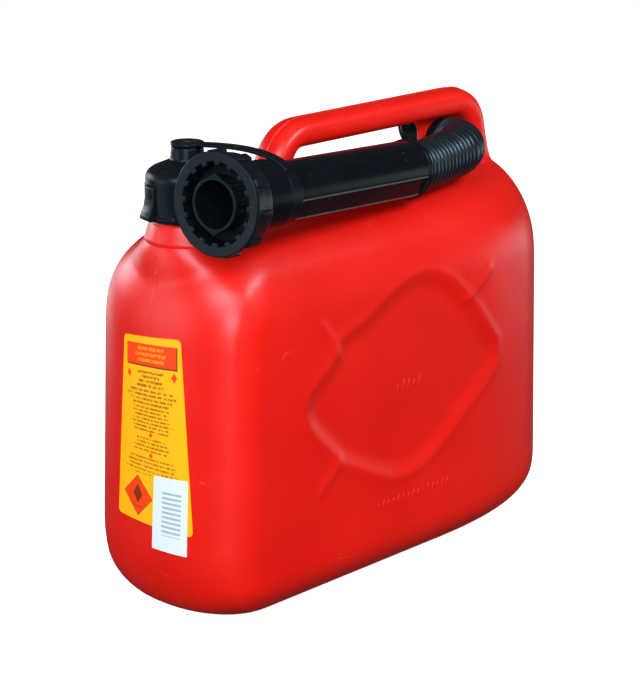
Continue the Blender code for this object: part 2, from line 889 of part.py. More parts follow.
def build():
    clear_scene()
    red = plastic("red_can_plastic", (0.70, 0.014, 0.010), 0.38)
    black = plastic("black_plastic", (0.012, 0.016, 0.020), 0.35)
    rubber = plastic("seal_rubber", (0.03, 0.03, 0.03), 0.7)
    soft = plastic("black_flexible_plastic", (0.010, 0.014, 0.018), 0.42)
    yellow = plastic("yellow_sticker", (0.85, 0.58, 0.03), 0.45)
    white = plastic("white_sticker", (0.80, 0.80, 0.78), 0.45)
    body(red)
    cap(black)
    cap_gasket(rubber)
    spout_tube(black)
    spout_gasket(rubber)
    collar(black)
    strap(soft)
    bellows(soft)
    nozzle(black)
    sticker(
        "front_label",
        Vector((0, -front_label_aside, front_label_z)),
        front_label_base_width,
        front_label_top_width,
        front_label_height,
        touch_gap,
        yellow,
    )
    sticker(
        "small_label",
        Vector((0, -small_label_aside, small_label_z)),
        small_label_width,
        small_label_width,
        small_label_height,
        touch_gap + label_skin + touch_gap,
        white,
    )


build()
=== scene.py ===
from math import atan2, copysign, cos, hypot, pi, radians, sin, sqrt, tan

import bmesh
import bpy
import numpy as np
from mathutils import Matrix, Vector
from mathutils.bvhtree import BVHTree


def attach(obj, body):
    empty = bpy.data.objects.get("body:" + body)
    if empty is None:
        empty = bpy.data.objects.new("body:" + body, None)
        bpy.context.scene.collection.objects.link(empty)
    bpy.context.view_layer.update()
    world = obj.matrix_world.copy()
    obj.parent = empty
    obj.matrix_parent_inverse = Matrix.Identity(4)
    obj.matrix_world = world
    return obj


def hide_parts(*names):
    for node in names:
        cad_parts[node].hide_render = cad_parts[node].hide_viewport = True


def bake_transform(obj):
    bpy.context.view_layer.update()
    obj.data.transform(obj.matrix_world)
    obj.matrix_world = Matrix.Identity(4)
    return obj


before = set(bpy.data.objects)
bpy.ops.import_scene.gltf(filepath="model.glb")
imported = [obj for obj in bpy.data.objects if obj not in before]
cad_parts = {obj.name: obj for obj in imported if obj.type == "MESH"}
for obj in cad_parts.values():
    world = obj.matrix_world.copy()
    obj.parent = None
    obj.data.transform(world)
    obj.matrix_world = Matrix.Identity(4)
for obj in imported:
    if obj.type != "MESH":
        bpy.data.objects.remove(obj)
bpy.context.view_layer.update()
print("frame:", ", ".join(sorted(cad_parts)))


# Node trees: a wire takes arithmetic, and a bench adds every node
class Wire:
    def __init__(self, bench, socket):
        self.bench, self.socket = bench, socket

    def maths(self, operation, *values, clamp=False):
        sockets = dict(enumerate(values))
        return self.bench.node("ShaderNodeMath", sockets, operation=operation, use_clamp=clamp)

    def __add__(self, other): return self.maths("ADD", self, other)
    def __radd__(self, other): return self.maths("ADD", other, self)
    def __sub__(self, other): return self.maths("SUBTRACT", self, other)
    def __rsub__(self, other): return self.maths("SUBTRACT", other, self)
    def __mul__(self, other): return self.maths("MULTIPLY", self, other)
    def __rmul__(self, other): return self.maths("MULTIPLY", other, self)
    def __truediv__(self, other): return self.maths("DIVIDE", self, other)
    def __rtruediv__(self, other): return self.maths("DIVIDE", other, self)
    def __pow__(self, other): return self.maths("POWER", self, other)

    def held(self): return self.maths("ADD", self, 0.0, clamp=True)  # kept between 0 and 1
    def size(self): return self.maths("ABSOLUTE", self)
    def atLeast(self, other): return self.maths("MAXIMUM", self, other)
    def atMost(self, other): return self.maths("MINIMUM", self, other)


class Bench:
    def __init__(self, tree):
        self.tree = tree

    def node(self, kind, sockets=None, output=0, **settings):
        made = self.tree.nodes.new(kind)
        for key, value in settings.items():
            setattr(made, key, value)
        for key, value in (sockets or {}).items():
            if isinstance(value, Wire):
                self.tree.links.new(value.socket, made.inputs[key])
            else:
                made.inputs[key].default_value = value
        return Wire(self, made.outputs[output] if made.outputs else None)


# Materials
class Finish(Bench):
    def __init__(self, name, **constants):
        self.material = bpy.data.materials.new(name)
        self.material.use_nodes = True
        super().__init__(self.material.node_tree)
        self.shader = self.tree.nodes["Principled BSDF"]
        for key, value in constants.items():
            self.shader.inputs[key.replace("_", " ")].default_value = value

    def feed(self, **wires):
        for key, wire in wires.items():
            self.tree.links.new(wire.socket, self.shader.inputs[key.replace("_", " ")])

    def place(self, stretch=(1.0, 1.0, 1.0), turn=(0.0, 0.0, 0.0)):
        spot = self.node("ShaderNodeTexCoord", output=3)
        return self.node("ShaderNodeMapping", {"Vector": spot, "Scale": stretch, "Rotation": turn})

    def noise(self, spot, scale, detail=3.0, rough=0.55):
        sockets = {"Vector": spot, "Scale": scale, "Detail": detail, "Roughness": rough}
        return self.node("ShaderNodeTexNoise", sockets)

    def spots(self, spot, scale, low, high):  # a soft-edged mask where noise is high
        return ((self.noise(spot, scale, 4.0) - low) / (high - low)).held()

    def scratches(self, spot, scale, width, seed):
        # Thin broken lines: the zero crossings of one noise, kept only where another is high
        bent = self.noise(spot, scale, 1.0)
        line = (1.0 - (bent - 0.5).size() / width).held()
        here = self.spots(self.place((1.0, 1.0, 1.0), (seed, seed * 2.0, 0.0)), scale * 2.3, 0.60, 0.70)
        return line * here

    def blend(self, share, first, second):
        return self.node("ShaderNodeMix", {0: share, 6: first, 7: second}, 2, data_type="RGBA")

    def bump(self, height, strength, depth, under=None):
        sockets = {"Height": height, "Strength": strength, "Distance": depth}
        if under:
            sockets["Normal"] = under
        return self.node("ShaderNodeBump", sockets)

    def worn(self):
        return self.node("ShaderNodeAttribute", None, 2, attribute_name="edgeWearAndLineSheen")


def colour(red, green, blue):
    return (red, green, blue, 1.0)


redPlastic = {"deep": colour(0.60, 0.005, 0.002), "base": colour(0.72, 0.010, 0.004),
              "pale": colour(0.80, 0.034, 0.022), "scuff": colour(0.86, 0.24, 0.20),
              "tint": colour(0.72, 0.90, 1.0), "shine": 0.45, "roughness": 0.34, "uneven": 0.10,
              "cloudScale": 14.0, "peelScale": 260.0, "grainScale": 1500.0,
              "dieLines": (420.0, 420.0, 16.0), "scratchScale": 26.0}


def mouldedRed():
    made = Finish("mouldedRedPlastic", IOR=1.50, Specular_IOR_Level=redPlastic["shine"],
                  Specular_Tint=redPlastic["tint"])
    spot = made.place()
    cloud = made.noise(spot, redPlastic["cloudScale"], 4.0)
    drawn = made.noise(made.place(redPlastic["dieLines"]), 1.0, 2.0)  # the upright die lines of the parison
    grain = made.noise(spot, redPlastic["grainScale"], 2.0)
    peel = made.noise(spot, redPlastic["peelScale"], 3.0)
    wear = made.worn()
    scratch = made.scratches(spot, redPlastic["scratchScale"], 0.006, 1.1)
    base = made.blend((cloud * 1.6 - 0.3).held(), redPlastic["deep"], redPlastic["base"])
    base = made.blend((wear * (0.4 + peel)).held() * 0.55, base, redPlastic["pale"])
    base = made.blend((scratch * 0.2).held(), base, redPlastic["scuff"])
    rough = redPlastic["roughness"] + (peel - 0.5) * redPlastic["uneven"] + (cloud - 0.5) * 0.10
    rough = rough + wear * 0.05 + scratch * 0.15
    low = made.bump(drawn, 0.10, 0.0002)
    low = made.bump(peel, 0.10, 0.0003, low)
    low = made.bump(grain, 0.06, 0.0001, low)
    made.feed(Base_Color=base, Roughness=rough, Normal=made.bump(1.0 - scratch, 0.25, 0.0001, low))
    return made.material


blackPlastic = {"base": colour(0.0018, 0.0027, 0.0038), "pale": colour(0.0044, 0.0066, 0.0090),
                "scuff": colour(0.11, 0.13, 0.135), "dust": colour(0.060, 0.068, 0.066),
                "tint": colour(0.52, 0.80, 1.0), "cloudScale": 60.0, "peelScale": 420.0,
                "grainScale": 2200.0, "dustScale": 170.0, "speckScale": 900.0, "scratchScale": 70.0}
# Each black finish: its roughness, grain, dust, orange peel and shine
blackFinishes = {"mouldedBlackPlastic": (0.24, 0.03, 0.02, 0.03, 0.12),
                 # The edge finish's heavy dust and full wear paint the tube's raised lines lighter, as
                 # painted highlights
                 "wornBlackEdge": (0.30, 0.03, 0.9, 0.05, 0.36),
                 "satinBlackPlastic": (0.34, 0.10, 0.20, 0.10, 0.24),
                 "flexibleBlackPlastic": (0.32, 0.04, 0.06, 0.03, 0.2),
                 "ribbedHosePlastic": (0.38, 0.05, 0.04, 0.04, 0.75)}


def mouldedBlack(name, roughness, grainDepth, dusty, peelDepth, shine):
    made = Finish(name, IOR=1.45, Specular_IOR_Level=shine, Specular_Tint=blackPlastic["tint"])
    spot = made.place()
    cloud = made.noise(spot, blackPlastic["cloudScale"], 4.0)
    grain = made.noise(spot, blackPlastic["grainScale"], 2.0)
    peel = made.noise(spot, blackPlastic["peelScale"], 3.0)
    wear = made.worn()
    scratch = made.scratches(spot, blackPlastic["scratchScale"], 0.012, 0.7)
    dust = made.spots(spot, blackPlastic["dustScale"], 0.54, 0.80)
    dust = dust * made.spots(spot, blackPlastic["speckScale"], 0.45, 0.62)
    base = made.blend((cloud * 1.5 - 0.25).held(), blackPlastic["base"], blackPlastic["pale"])
    # On the tube's lines the wear mask is full, so their scuff and dust shares there are a painted
    # highlight
    for share, over in ((dust * dusty, "dust"), (wear * peel * 0.9, "scuff"), (scratch * 0.5, "scuff")):
        base = made.blend(share.held(), base, blackPlastic[over])
    rough = roughness + (peel - 0.5) * peelDepth + (cloud - 0.5) * 0.10
    rough = rough + dust * dusty * 0.3 + scratch * 0.15
    low = made.bump(peel, peelDepth, 0.0002)
    made.feed(Base_Color=base, Roughness=rough, Normal=made.bump(grain, grainDepth, 0.0001, low))
    return made.material


def sealRubber():
    made = Finish("sealRubber", IOR=1.45, Specular_IOR_Level=0.15, Specular_Tint=colour(0.55, 0.82, 1.0))
    spot = made.place()
    bloom = made.noise(spot, 220.0, 4.0)
    base = made.blend(bloom, colour(0.0022, 0.0030, 0.0038), colour(0.0050, 0.0062, 0.0072))
    grain = made.noise(spot, 1600.0, 2.0)
    made.feed(Base_Color=base, Roughness=0.62 + bloom * 0.25, Normal=made.bump(grain, 0.2, 0.0001))
    return made.material


# Meshes
def placed(name, data):
    thing = bpy.data.objects.new(name, data)
    bpy.context.scene.collection.objects.link(thing)
    return thing


def addPiece(name, mesh, material, sharpAngle=None):
    piece = placed(name, mesh)
    mesh.materials.clear()
    mesh.materials.append(material)
    mesh.shade_smooth()
    if sharpAngle:
        mesh.set_sharp_from_angle(angle=radians(sharpAngle))
    return piece


def meshFrom(name, bm):
    bmesh.ops.remove_doubles(bm, verts=bm.verts, dist=1e-6)
    bmesh.ops.recalc_face_normals(bm, faces=bm.faces)
    mesh = bpy.data.meshes.new(name)
    bm.to_mesh(mesh)
    bm.free()
    return mesh


def skinOver(rings, loop=False, ends=True):
    # Rings of as many points each joined into one skin; loop joins the last ring to the first
    bm = bmesh.new()
    loops = [[bm.verts.new(point) for point in ring] for ring in rings]
    pairs = list(zip(loops, loops[1:])) + ([(loops[-1], loops[0])] if loop else [])
    for low, high in pairs:
        for i in range(len(low)):
            j = (i + 1) % len(low)
            bm.faces.new((low[i], low[j], high[j], high[i]))
    if ends and not loop:
        bm.faces.new(loops[0])
        bm.faces.new(loops[-1])
    return bm


def softProfile(points, steps=4, loop=True):
    # Corners given as (radius, height, round) become short curves
    soft = []
    for i, (x, y, bend) in enumerate(points):
        here = Vector((x, y))
        if bend <= 0 or (not loop and i in (0, len(points) - 1)):
            soft.append((x, y))
            continue
        before = Vector(points[i - 1][:2]) - here
        after = Vector(points[(i + 1) % len(points)][:2]) - here
        reach = [min(bend, way.length * 0.49) for way in (before, after)]
        guard = [min(bend + 0.00015, way.length * 0.495) for way in (before, after)]  # keeps the flats flat
        first, last = here + before.normalized() * reach[0], here + after.normalized() * reach[1]
        curve = [first * (1 - t) ** 2 + here * 2 * t * (1 - t) + last * t * t
                 for t in np.linspace(0, 1, steps + 1)]
        curve = [here + before.normalized() * guard[0], *curve, here + after.normalized() * guard[1]]
        soft += [(point.x, point.y) for point in curve]
    return soft


def turned(profile, sides, loop=True):
    angles = [2 * pi * i / sides for i in range(sides)]
    return skinOver([[(r * cos(a), r * sin(a), z) for a in angles] for r, z in profile], loop)


def sidePlate(outline, width, soften):
    # An outline of (radius, height) points across the X axis, with its edges softened
    bm = skinOver([[(r, side * width / 2, z) for r, z in outline] for side in (-1, 1)])
    bmesh.ops.recalc_face_normals(bm, faces=bm.faces)
    if soften:
        bmesh.ops.bevel(bm, geom=list(bm.edges), offset=soften, segments=3, profile=0.5, affect="EDGES",
                        clamp_overlap=True)
    return bm


def joined(name, parts):
    # Closed meshes that overlap, made one closed mesh
    things = [placed("part", mesh) for mesh in parts]
    for other in things[1:]:
        step = things[0].modifiers.new("Join", "BOOLEAN")
        step.operation, step.solver, step.object = "UNION", "MANIFOLD", other
    return settled(name, things[0], things[1:])


def settled(name, thing, helpers=()):
    # The evaluated shape of a thing as a plain mesh; the thing and its helpers go
    bpy.context.view_layer.update()
    graph = bpy.context.evaluated_depsgraph_get()
    mesh = bpy.data.meshes.new_from_object(thing.evaluated_get(graph))
    mesh.name = name
    for old in (thing, *helpers):
        bpy.data.objects.remove(old, do_unlink=True)
    return mesh


def meshPoints(mesh):
    points = np.empty(len(mesh.vertices) * 3, np.float32)
    mesh.vertices.foreach_get("co", points)
    return points.reshape(-1, 3).astype(float)


def meshEdges(mesh):
    edges = np.empty(len(mesh.edges) * 2, np.int32)
    mesh.edges.foreach_get("vertices", edges)
    return edges.reshape(-1, 2)


def neighbourMean(points, edges):
    a, b = edges.T
    count = len(points)
    shares = np.maximum(np.bincount(np.concatenate([a, b]), minlength=count), 1)
    total = [np.bincount(a, points[b, k], count) + np.bincount(b, points[a, k], count) for k in range(3)]
    return np.stack(total, 1) / shares[:, None]


def ramp(value, low, high):
    t = np.clip((value - low) / (high - low), 0, 1)
    return t * t * (3 - 2 * t)


def markWear(mesh, low, high):
    # How sharply the skin turns outwards at each point, which the materials read as wear
    points, edges = meshPoints(mesh), meshEdges(mesh)
    normals = np.empty(len(mesh.vertices) * 3, np.float32)
    mesh.vertices.foreach_get("normal", normals)
    lengths = np.linalg.norm(points[edges[:, 0]] - points[edges[:, 1]], axis=1)
    count = len(points)
    met = np.maximum(np.bincount(edges.ravel(), minlength=count), 1)
    spacing = np.bincount(edges.ravel(), np.repeat(lengths, 2), count) / met
    inward = ((points - neighbourMean(points, edges)) * normals.reshape(-1, 3)).sum(1)
    wear = ramp(inward / np.maximum(spacing, 1e-5) ** 2, low, high)
    store = mesh.attributes.new("edgeWearAndLineSheen", "FLOAT", "POINT")
    store.data.foreach_set("value", wear.astype(np.float32))


def wornPiece(name, mesh, material, low, high, sharpAngle=50):
    markWear(mesh, low, high)
    return addPiece(name, mesh, material, sharpAngle)


# Geometry Nodes
class Grower(Bench):
    def __init__(self, name, **numbers):
        super().__init__(bpy.data.node_groups.new(name, "GeometryNodeTree"))
        self.tree.interface.new_socket("Geometry", in_out="INPUT", socket_type="NodeSocketGeometry")
        self.tree.interface.new_socket("Geometry", in_out="OUTPUT", socket_type="NodeSocketGeometry")
        for key, value in numbers.items():
            kind = "NodeSocketInt" if isinstance(value, int) else "NodeSocketFloat"
            self.tree.interface.new_socket(key, in_out="INPUT", socket_type=kind).default_value = value
        self.tree.interface.new_socket("Material", in_out="INPUT", socket_type="NodeSocketMaterial")
        self.entry = self.tree.nodes.new("NodeGroupInput")

    def given(self, name="Geometry"):
        return Wire(self, self.entry.outputs[name])

    def finish(self, shape):
        whole = self.node("GeometryNodeRealizeInstances", {0: shape})
        smooth = self.node("GeometryNodeSetShadeSmooth", {0: whole})
        coat = {"Geometry": smooth, "Material": self.given("Material")}
        coated = self.node("GeometryNodeSetMaterial", coat)
        self.node("NodeGroupOutput", {0: coated})
        return self.tree


def grown(name, tree, start, material, sharpAngle=None, **numbers):
    # Runs a tree on a starting mesh and keeps the plain result
    thing = placed(name, start)
    step = thing.modifiers.new("Grow", "NODES")
    step.node_group = tree
    for item in tree.interface.items_tree:
        if item.in_out == "INPUT" and item.name in numbers:
            step[item.identifier] = numbers[item.name]
        if item.in_out == "INPUT" and item.name == "Material":
            step[item.identifier] = material
    return addPiece(name, settled(name, thing), material, sharpAngle)


def ringTree():
    # Copies of one block turned round the Z axis by even steps
    made = Grower("roundTheAxis", Count=8, First=0.0, Step=45.0)
    order = made.node("GeometryNodeInputIndex")
    turn = (made.given("First") + order * made.given("Step")) * (pi / 180)
    points = made.node("GeometryNodePoints", {"Count": made.given("Count")})
    spin = made.node("ShaderNodeCombineXYZ", {"Z": turn})
    blocks = {"Points": points, "Instance": made.given(), "Rotation": spin}
    return made.finish(made.node("GeometryNodeInstanceOnPoints", blocks))


def threadTree():
    # A helical ridge, thin at both ends
    made = Grower("threadRidge", Radius=0.02, Pitch=0.004, Turns=2.0, Reach=0.0014, Root=0.0020,
                  Crest=0.0008)
    given = made.given
    turns = {"Resolution": 96, "Rotations": given("Turns"), "Start Radius": given("Radius"),
             "End Radius": given("Radius"), "Height": given("Turns") * given("Pitch")}
    spiral = made.node("GeometryNodeCurveSpiral", turns)
    upright = made.node("GeometryNodeSetCurveNormal", {0: spiral}, mode="Z_UP")
    shape = {"Bottom Width": given("Root"), "Top Width": given("Crest"), "Height": given("Reach") * 2.0,
             "Offset": 0.0}
    section = made.node("GeometryNodeCurvePrimitiveQuadrilateral", shape, mode="TRAPEZOID")
    along = made.node("GeometryNodeSplineParameter")
    fade = ((along * 12.0).atMost((1.0 - along) * 12.0)).held()
    sweep = {"Curve": upright, "Profile Curve": section, "Scale": 0.15 + fade * 0.85, "Fill Caps": True}
    return made.finish(made.node("GeometryNodeCurveToMesh", sweep))


def hoseTree():
    # A ribbed hose along a line, its ribs round and its grooves narrow
    made = Grower("ribbedHose", Ribs=18, Crest=0.0142, Valley=0.0131, Sides=64, Start=0.0, End=0.05)
    given = made.given
    ribs, perRib, sharpness, roundness = given("Ribs"), 14, 400.0, 0.45
    line = made.node("GeometryNodeMeshToCurve", {0: given()})
    dense = made.node("GeometryNodeResampleCurve", {"Curve": line, "Count": ribs * perRib + 1})
    along = made.node("GeometryNodeSplineParameter")
    phase = (along - given("Start")) / (given("End") - given("Start"))
    wave = along.maths("SINE", phase * ribs * pi).size() ** roundness
    inside = (phase * sharpness).held() * ((1.0 - phase) * sharpness).held()
    swell = given("Valley") + (given("Crest") - given("Valley")) * (1.0 - inside * (1.0 - wave))
    ring = made.node("GeometryNodeCurvePrimitiveCircle", {"Resolution": given("Sides"), "Radius": 1.0})
    sweep = {"Curve": dense, "Profile Curve": ring, "Scale": swell}
    return made.finish(made.node("GeometryNodeCurveToMesh", sweep))


def beadTree():
    # A thin half-round bead along a line, as the parting line of a mould
    made = Grower("partingBead", Width=0.0010, Spacing=0.0012)
    line = made.node("GeometryNodeMeshToCurve", {0: made.given()})
    even = made.node("GeometryNodeResampleCurve", {"Curve": line, "Length": made.given("Spacing")},
                     mode="LENGTH")
    ring = made.node("GeometryNodeCurvePrimitiveCircle",
                     {"Resolution": 8, "Radius": made.given("Width") * 0.5})
    sweep = {"Curve": even, "Profile Curve": ring, "Fill Caps": True}
    return made.finish(made.node("GeometryNodeCurveToMesh", sweep))


roundTheAxis, threadRidge, ribbedHose, partingBead = ringTree(), threadTree(), hoseTree(), beadTree()
red = mouldedRed()
blacks = [mouldedBlack(name, *values) for name, values in blackFinishes.items()]
black, paintedLineHighlight, satin, flexible, ribbed = blacks
rubber = sealRubber()
print("materials and node trees ready")

# The can: the same outline as the frame's body, from the same sizes
can = {"length": 0.299, "width": 0.112, "ridge": 0.205, "wall": 0.0036, "sideRound": 0.020,
       "sideDraft": 0.004, "frontBaseRise": 0.0385, "frontBaseInset": 0.016, "rearBaseRise": 0.028,
       "rearBaseInset": 0.0335, "noseDepth": 0.031, "nosePower": 2.2, "tailDepth": 0.105, "tailPower": 2.4,
       "frontLean": 0.040, "rearLean": 0.030, "frontShoulder": (0.058, 0.042),
       "rearShoulder": (0.062, 0.0285), "crownRise": 0.049, "crownPower": 2.15, "voxel": 0.00165,
       "slack": 0.0010, "tuck": 0.0009, "sway": 0.00022, "gripWall": 0.0022}
gap = 0.0003  # between pieces that fit together
neck = {"x": -0.1155, "core": 0.0186, "bore": 0.0155, "boreDepth": 0.040, "bead": 0.0200, "side": 0.0200,
        "slope": 0.80, "drop": 0.016, "ledge": 0.0237, "ledgeZ": 0.1974, "waist": 0.0214, "waistZ": 0.2040,
        "narrowFront": 0.060, "bury": 0.030, "flareTop": 0.2070, "beadLow": 0.2035, "beadHigh": 0.2059,
        "top": 0.2288, "threadLow": 0.2125, "threadPitch": 0.004, "threadReach": 0.0014,
        "threadRoot": 0.0020, "threadCrest": 0.0008, "threadTurns": 3.0}
grip = {"top": 0.2476, "under": 0.2321, "width": 0.0213, "power": 2.67, "footWidth": 0.028,
        "spreadRise": 0.012, "spread": 0.020, "front": -0.0433, "rear": 0.0985, "frontSlope": 0.30,
        "rearSlope": 0.065, "frontRound": 0.007, "rearRound": 0.011, "frontLeg": 0.0066,
        "frontLegSlope": 0.56, "frontCorner": 0.0285, "rearLeg": 0.0108, "rearLegSlope": 0.25,
        "rearCorner": 0.025, "sink": 0.018, "webThick": 0.0036, "webWidth": 0.0345, "webFillet": 0.007}


def onNeck(shape, rise=0.0):
    shape.transform(Matrix.Translation((neck["x"], 0, rise)))
    return shape


def threadOn(name, radius, turns, material):
    # A thread of the neck's pitch and section, round the Z axis
    return grown(name, threadRidge, bpy.data.meshes.new("empty"), material, 40, Radius=radius,
                 Pitch=neck["threadPitch"], Turns=turns, Reach=neck["threadReach"], Root=neck["threadRoot"],
                 Crest=neck["threadCrest"])


def superRing(sides, power, sidePower=None):
    # Unit points round a squared circle: cosine and sine, each bent by its power
    for i in range(sides):
        turn = 2 * pi * (i + 0.5) / sides
        x, y = cos(turn), sin(turn)
        yield copysign(abs(x) ** power, x), copysign(abs(y) ** (sidePower or power), y)


def arcInset(height, rise, inset, power):
    share = min(1.0, max(0.0, (rise - height) / rise))
    return inset * (1 - (1 - share**power) ** (1 / power))


def frontX(z):
    x = -can["length"] / 2 + can["frontLean"] * max(0.0, z - can["frontBaseRise"])
    x += arcInset(z, can["frontBaseRise"], can["frontBaseInset"], 2.0)
    return x + arcInset(can["ridge"] - z, *can["frontShoulder"], can["crownPower"])


def rearX(z):
    x = can["length"] / 2 - can["rearLean"] * z
    x -= arcInset(z, can["rearBaseRise"], can["rearBaseInset"], 2.0)
    return x - arcInset(can["ridge"] - z, *can["rearShoulder"], can["crownPower"])


def halfWidth(z):
    side = can["width"] / 2 - can["sideDraft"] * z - arcInset(z, can["sideRound"], can["sideRound"], 2.0)
    return side - arcInset(can["ridge"] - z, can["crownRise"], side, can["crownPower"])


def vesselRing(z, inset, turns):
    real = min(can["ridge"], max(0.0, z))
    half = halfWidth(real) * (1 - 2 * inset / can["width"])
    turn = np.linspace(0, pi / 2, turns + 1)
    nose = (frontX(real) + inset, 1, can["noseDepth"], can["nosePower"])
    tail = (rearX(real) - inset, -1, can["tailDepth"], can["tailPower"])
    near = []
    for face, way, depth, power in (nose, tail):
        x = face + way * depth * (1 - np.cos(turn).clip(0) ** (2 / power))
        points = list(zip(x, half * np.sin(turn) ** (2 / power)))
        near += points[::way]
    ring = [(x, -y, z) for x, y in near]
    return ring + [(x, y, z) for x, y in reversed(near[1:-1])]


def vessel(inset, fine):
    ridge, crown, side = can["ridge"], can["crownRise"], can["sideRound"]
    steps = lambda count: [pi / 2 * i / count for i in range(count + 1)]
    heights = [side * (1 - cos(a)) for a in steps(4 * fine)]
    heights += list(np.linspace(side, ridge - crown, 6 * fine)[1:])
    heights += [ridge - crown * (1 - sin(a)) for a in steps(9 * fine)[1:]]
    squeeze = (ridge - 2 * inset) / ridge
    rings = [[(x, y, inset + z * squeeze) for x, y, z in vesselRing(z, inset, 10 * fine)] for z in heights]
    bm = skinOver(rings, ends=False)
    bm.verts.ensure_lookup_table()
    bm.faces.new(bm.verts[:len(rings[0])])
    return meshFrom("vessel", bm)


def cornerArc(before, corner, after, radius, steps):
    a, b = (before - corner).normalized(), (after - corner).normalized()
    half = a.angle(b) / 2
    centre = corner + (a + b).normalized() * radius / sin(half)
    start = corner + a * radius / tan(half) - centre
    end = corner + b * radius / tan(half) - centre
    first = atan2(start.z, start.x)
    turn = (atan2(end.z, end.x) - first + pi) % (2 * pi) - pi
    angles = [first + turn * i / steps for i in range(steps + 1)]
    return [centre + radius * Vector((cos(t), 0, sin(t))) for t in angles]


def roundedPath(corners, rounds, legs, arcs, run):
    foot, front, rear, heel = [Vector((x, 0, z)) for x, z in corners]
    first = cornerArc(foot, front, rear, rounds[0], arcs)
    last = cornerArc(front, rear, heel, rounds[1], arcs)
    points = [foot.lerp(first[0], i / legs) for i in range(legs)] + first
    points += [first[-1].lerp(last[0], i / run) for i in range(1, run)] + last
    return points + [last[-1].lerp(heel, i / legs) for i in range(1, legs + 1)]


def gripPairs(legs=5, arcs=5, run=4):
    foot = can["ridge"] - grip["sink"]
    frontTop, rearTop = grip["front"] - grip["frontLeg"], grip["rear"] + grip["rearLeg"]
    rise, drop = grip["top"] - foot, grip["under"] - foot
    outer = roundedPath([(frontTop - grip["frontLegSlope"] * rise, foot), (frontTop, grip["top"]),
                         (rearTop, grip["top"]), (rearTop + grip["rearLegSlope"] * rise, foot)],
                        [grip["frontCorner"], grip["rearCorner"]], legs, arcs, run)
    inner = roundedPath([(grip["front"] - grip["frontSlope"] * drop, foot), (grip["front"], grip["under"]),
                         (grip["rear"], grip["under"]), (grip["rear"] + grip["rearSlope"] * drop, foot)],
                        [grip["frontRound"], grip["rearRound"]], legs, arcs, run)
    return list(zip(outer, inner))


def handle(inset, sides, steps):
    rings = []
    for outer, inner in gripPairs(*steps):
        across = (inner - outer).normalized()
        height = (inner - outer).length / 2 - inset
        middle = (outer + inner) / 2
        low = min(1.0, max(0.0, (can["ridge"] + grip["spreadRise"] - middle.z) / grip["spread"]))
        width = (grip["width"] + (grip["footWidth"] - grip["width"]) * low * low) / 2 - inset
        unit = superRing(sides, 2 / grip["power"])
        rings.append([middle + across * height * up + Vector((0, width * side, 0)) for up, side in unit])
    return meshFrom("handle", skinOver(rings))


def neckRings(profile, narrow, sides):
    # Rings about the neck's axis, drawn in at the front
    turns = [2 * pi * i / sides for i in range(sides)]
    spread = [(cos(turn) * (1.0 if cos(turn) > 0 else 1.0 - narrow), sin(turn)) for turn in turns]
    return [[(neck["x"] + radius * x, radius * y, z) for x, y in spread] for radius, z in profile]


def neckFlare():
    # The shoulder that spreads under the neck, hardly any of it at the front
    wide, low = neck["side"] + neck["slope"] * neck["drop"], neck["beadLow"]
    narrow = 1.0 - neck["ledge"] / wide
    rings = neckRings([(wide, low - neck["bury"]), (wide, low - neck["drop"])], narrow, 96)
    rings += neckRings([(neck["ledge"] + 0.0002, neck["ledgeZ"] - 0.0012),
                        (neck["waist"] - 0.0008, neck["ledgeZ"] + 0.0008),
                        (neck["waist"] - 0.0026, neck["flareTop"] - 0.0012)], neck["narrowFront"], 96)
    return meshFrom("flare", skinOver(rings))


def web():
    bury = 0.0011
    low, top = can["ridge"] - bury, grip["under"] + bury
    rear = grip["rear"] + grip["rearSlope"] * (grip["under"] - low) + bury
    front, fillet = grip["rear"] - grip["webWidth"], grip["webFillet"]
    arc = [pi / 2 * i / 10 for i in range(11)]
    edge = [(front - fillet * (1 - cos(a)), grip["under"] - fillet * (1 - sin(a))) for a in arc]
    outline = [(front, low)] + edge + [(edge[-1][0], top), (rear, top), (rear, low)]
    faces = [[(x, side * grip["webThick"] / 2, z) for x, z in outline] for side in (-1, 1)]
    return meshFrom("web", skinOver(faces))


# What is moulded into both sides: a sunk panel with notched corners and three creases, (x, z) in mm
relief = {"depth": 0.0015, "slope": 8.0, "lip": 0.00042, "lipOut": 3.2, "lipWidth": 3.0, "crease": 0.00065,
          "creaseWidth": 3.0}
relief["panel"] = [(8, 163.3), (-4.9, 162.3), (-18.7, 157.1), (-39.1, 145.6), (-50.2, 142.3),
                   (-60.2, 137.9), (-61.7, 131.2), (-66.7, 126.1), (-75.4, 120.4), (-82.6, 114.3),
                   (-84.5, 107), (-82.6, 100.3), (-75.4, 91.8), (-66.6, 83.8), (-61, 76.8), (-49.8, 70.7),
                   (-38.3, 64.9), (-17.3, 55.8), (-6.6, 55), (6.5, 57.6), (18.6, 63.2), (42.9, 80.4),
                   (57.7, 90.8), (65.7, 95.7), (71.3, 103.7), (70.6, 111.4), (61.8, 121.3), (51.3, 133.7),
                   (42.4, 142.4), (29.8, 153.5), (18.8, 160.4)]
relief["creases"] = [[(-61.2, 133.5), (-66.8, 142.4), (-74.4, 151.7)],
                     [(-61, 76.8), (-62.1, 70.7), (-69.9, 64.7), (-74.8, 60.4)],
                     [(42.4, 142.4), (48.5, 144.5), (57.1, 149.8), (63.7, 155.9)]]


def lineDistance(spots, corners, closed):
    # Distance in millimetres to a run of straight lines, and how often a ray to the right crosses it
    nearest = np.full(len(spots), 1e9)
    crossings = np.zeros(len(spots), int)
    ends = corners[1:] + corners[:1] if closed else corners[1:]
    for a, b in zip(corners, ends):
        a, b = np.array(a, float), np.array(b, float)
        share = np.clip(((spots - a) @ (b - a)) / ((b - a) @ (b - a)), 0, 1)
        nearest = np.minimum(nearest, np.linalg.norm(spots - a - share[:, None] * (b - a), axis=1))
        if closed and a[1] != b[1]:
            between = (a[1] > spots[:, 1]) != (b[1] > spots[:, 1])
            edge = a[0] + (spots[:, 1] - a[1]) * (b[0] - a[0]) / (b[1] - a[1])
            crossings += between & (spots[:, 0] < edge)
    return nearest, crossings


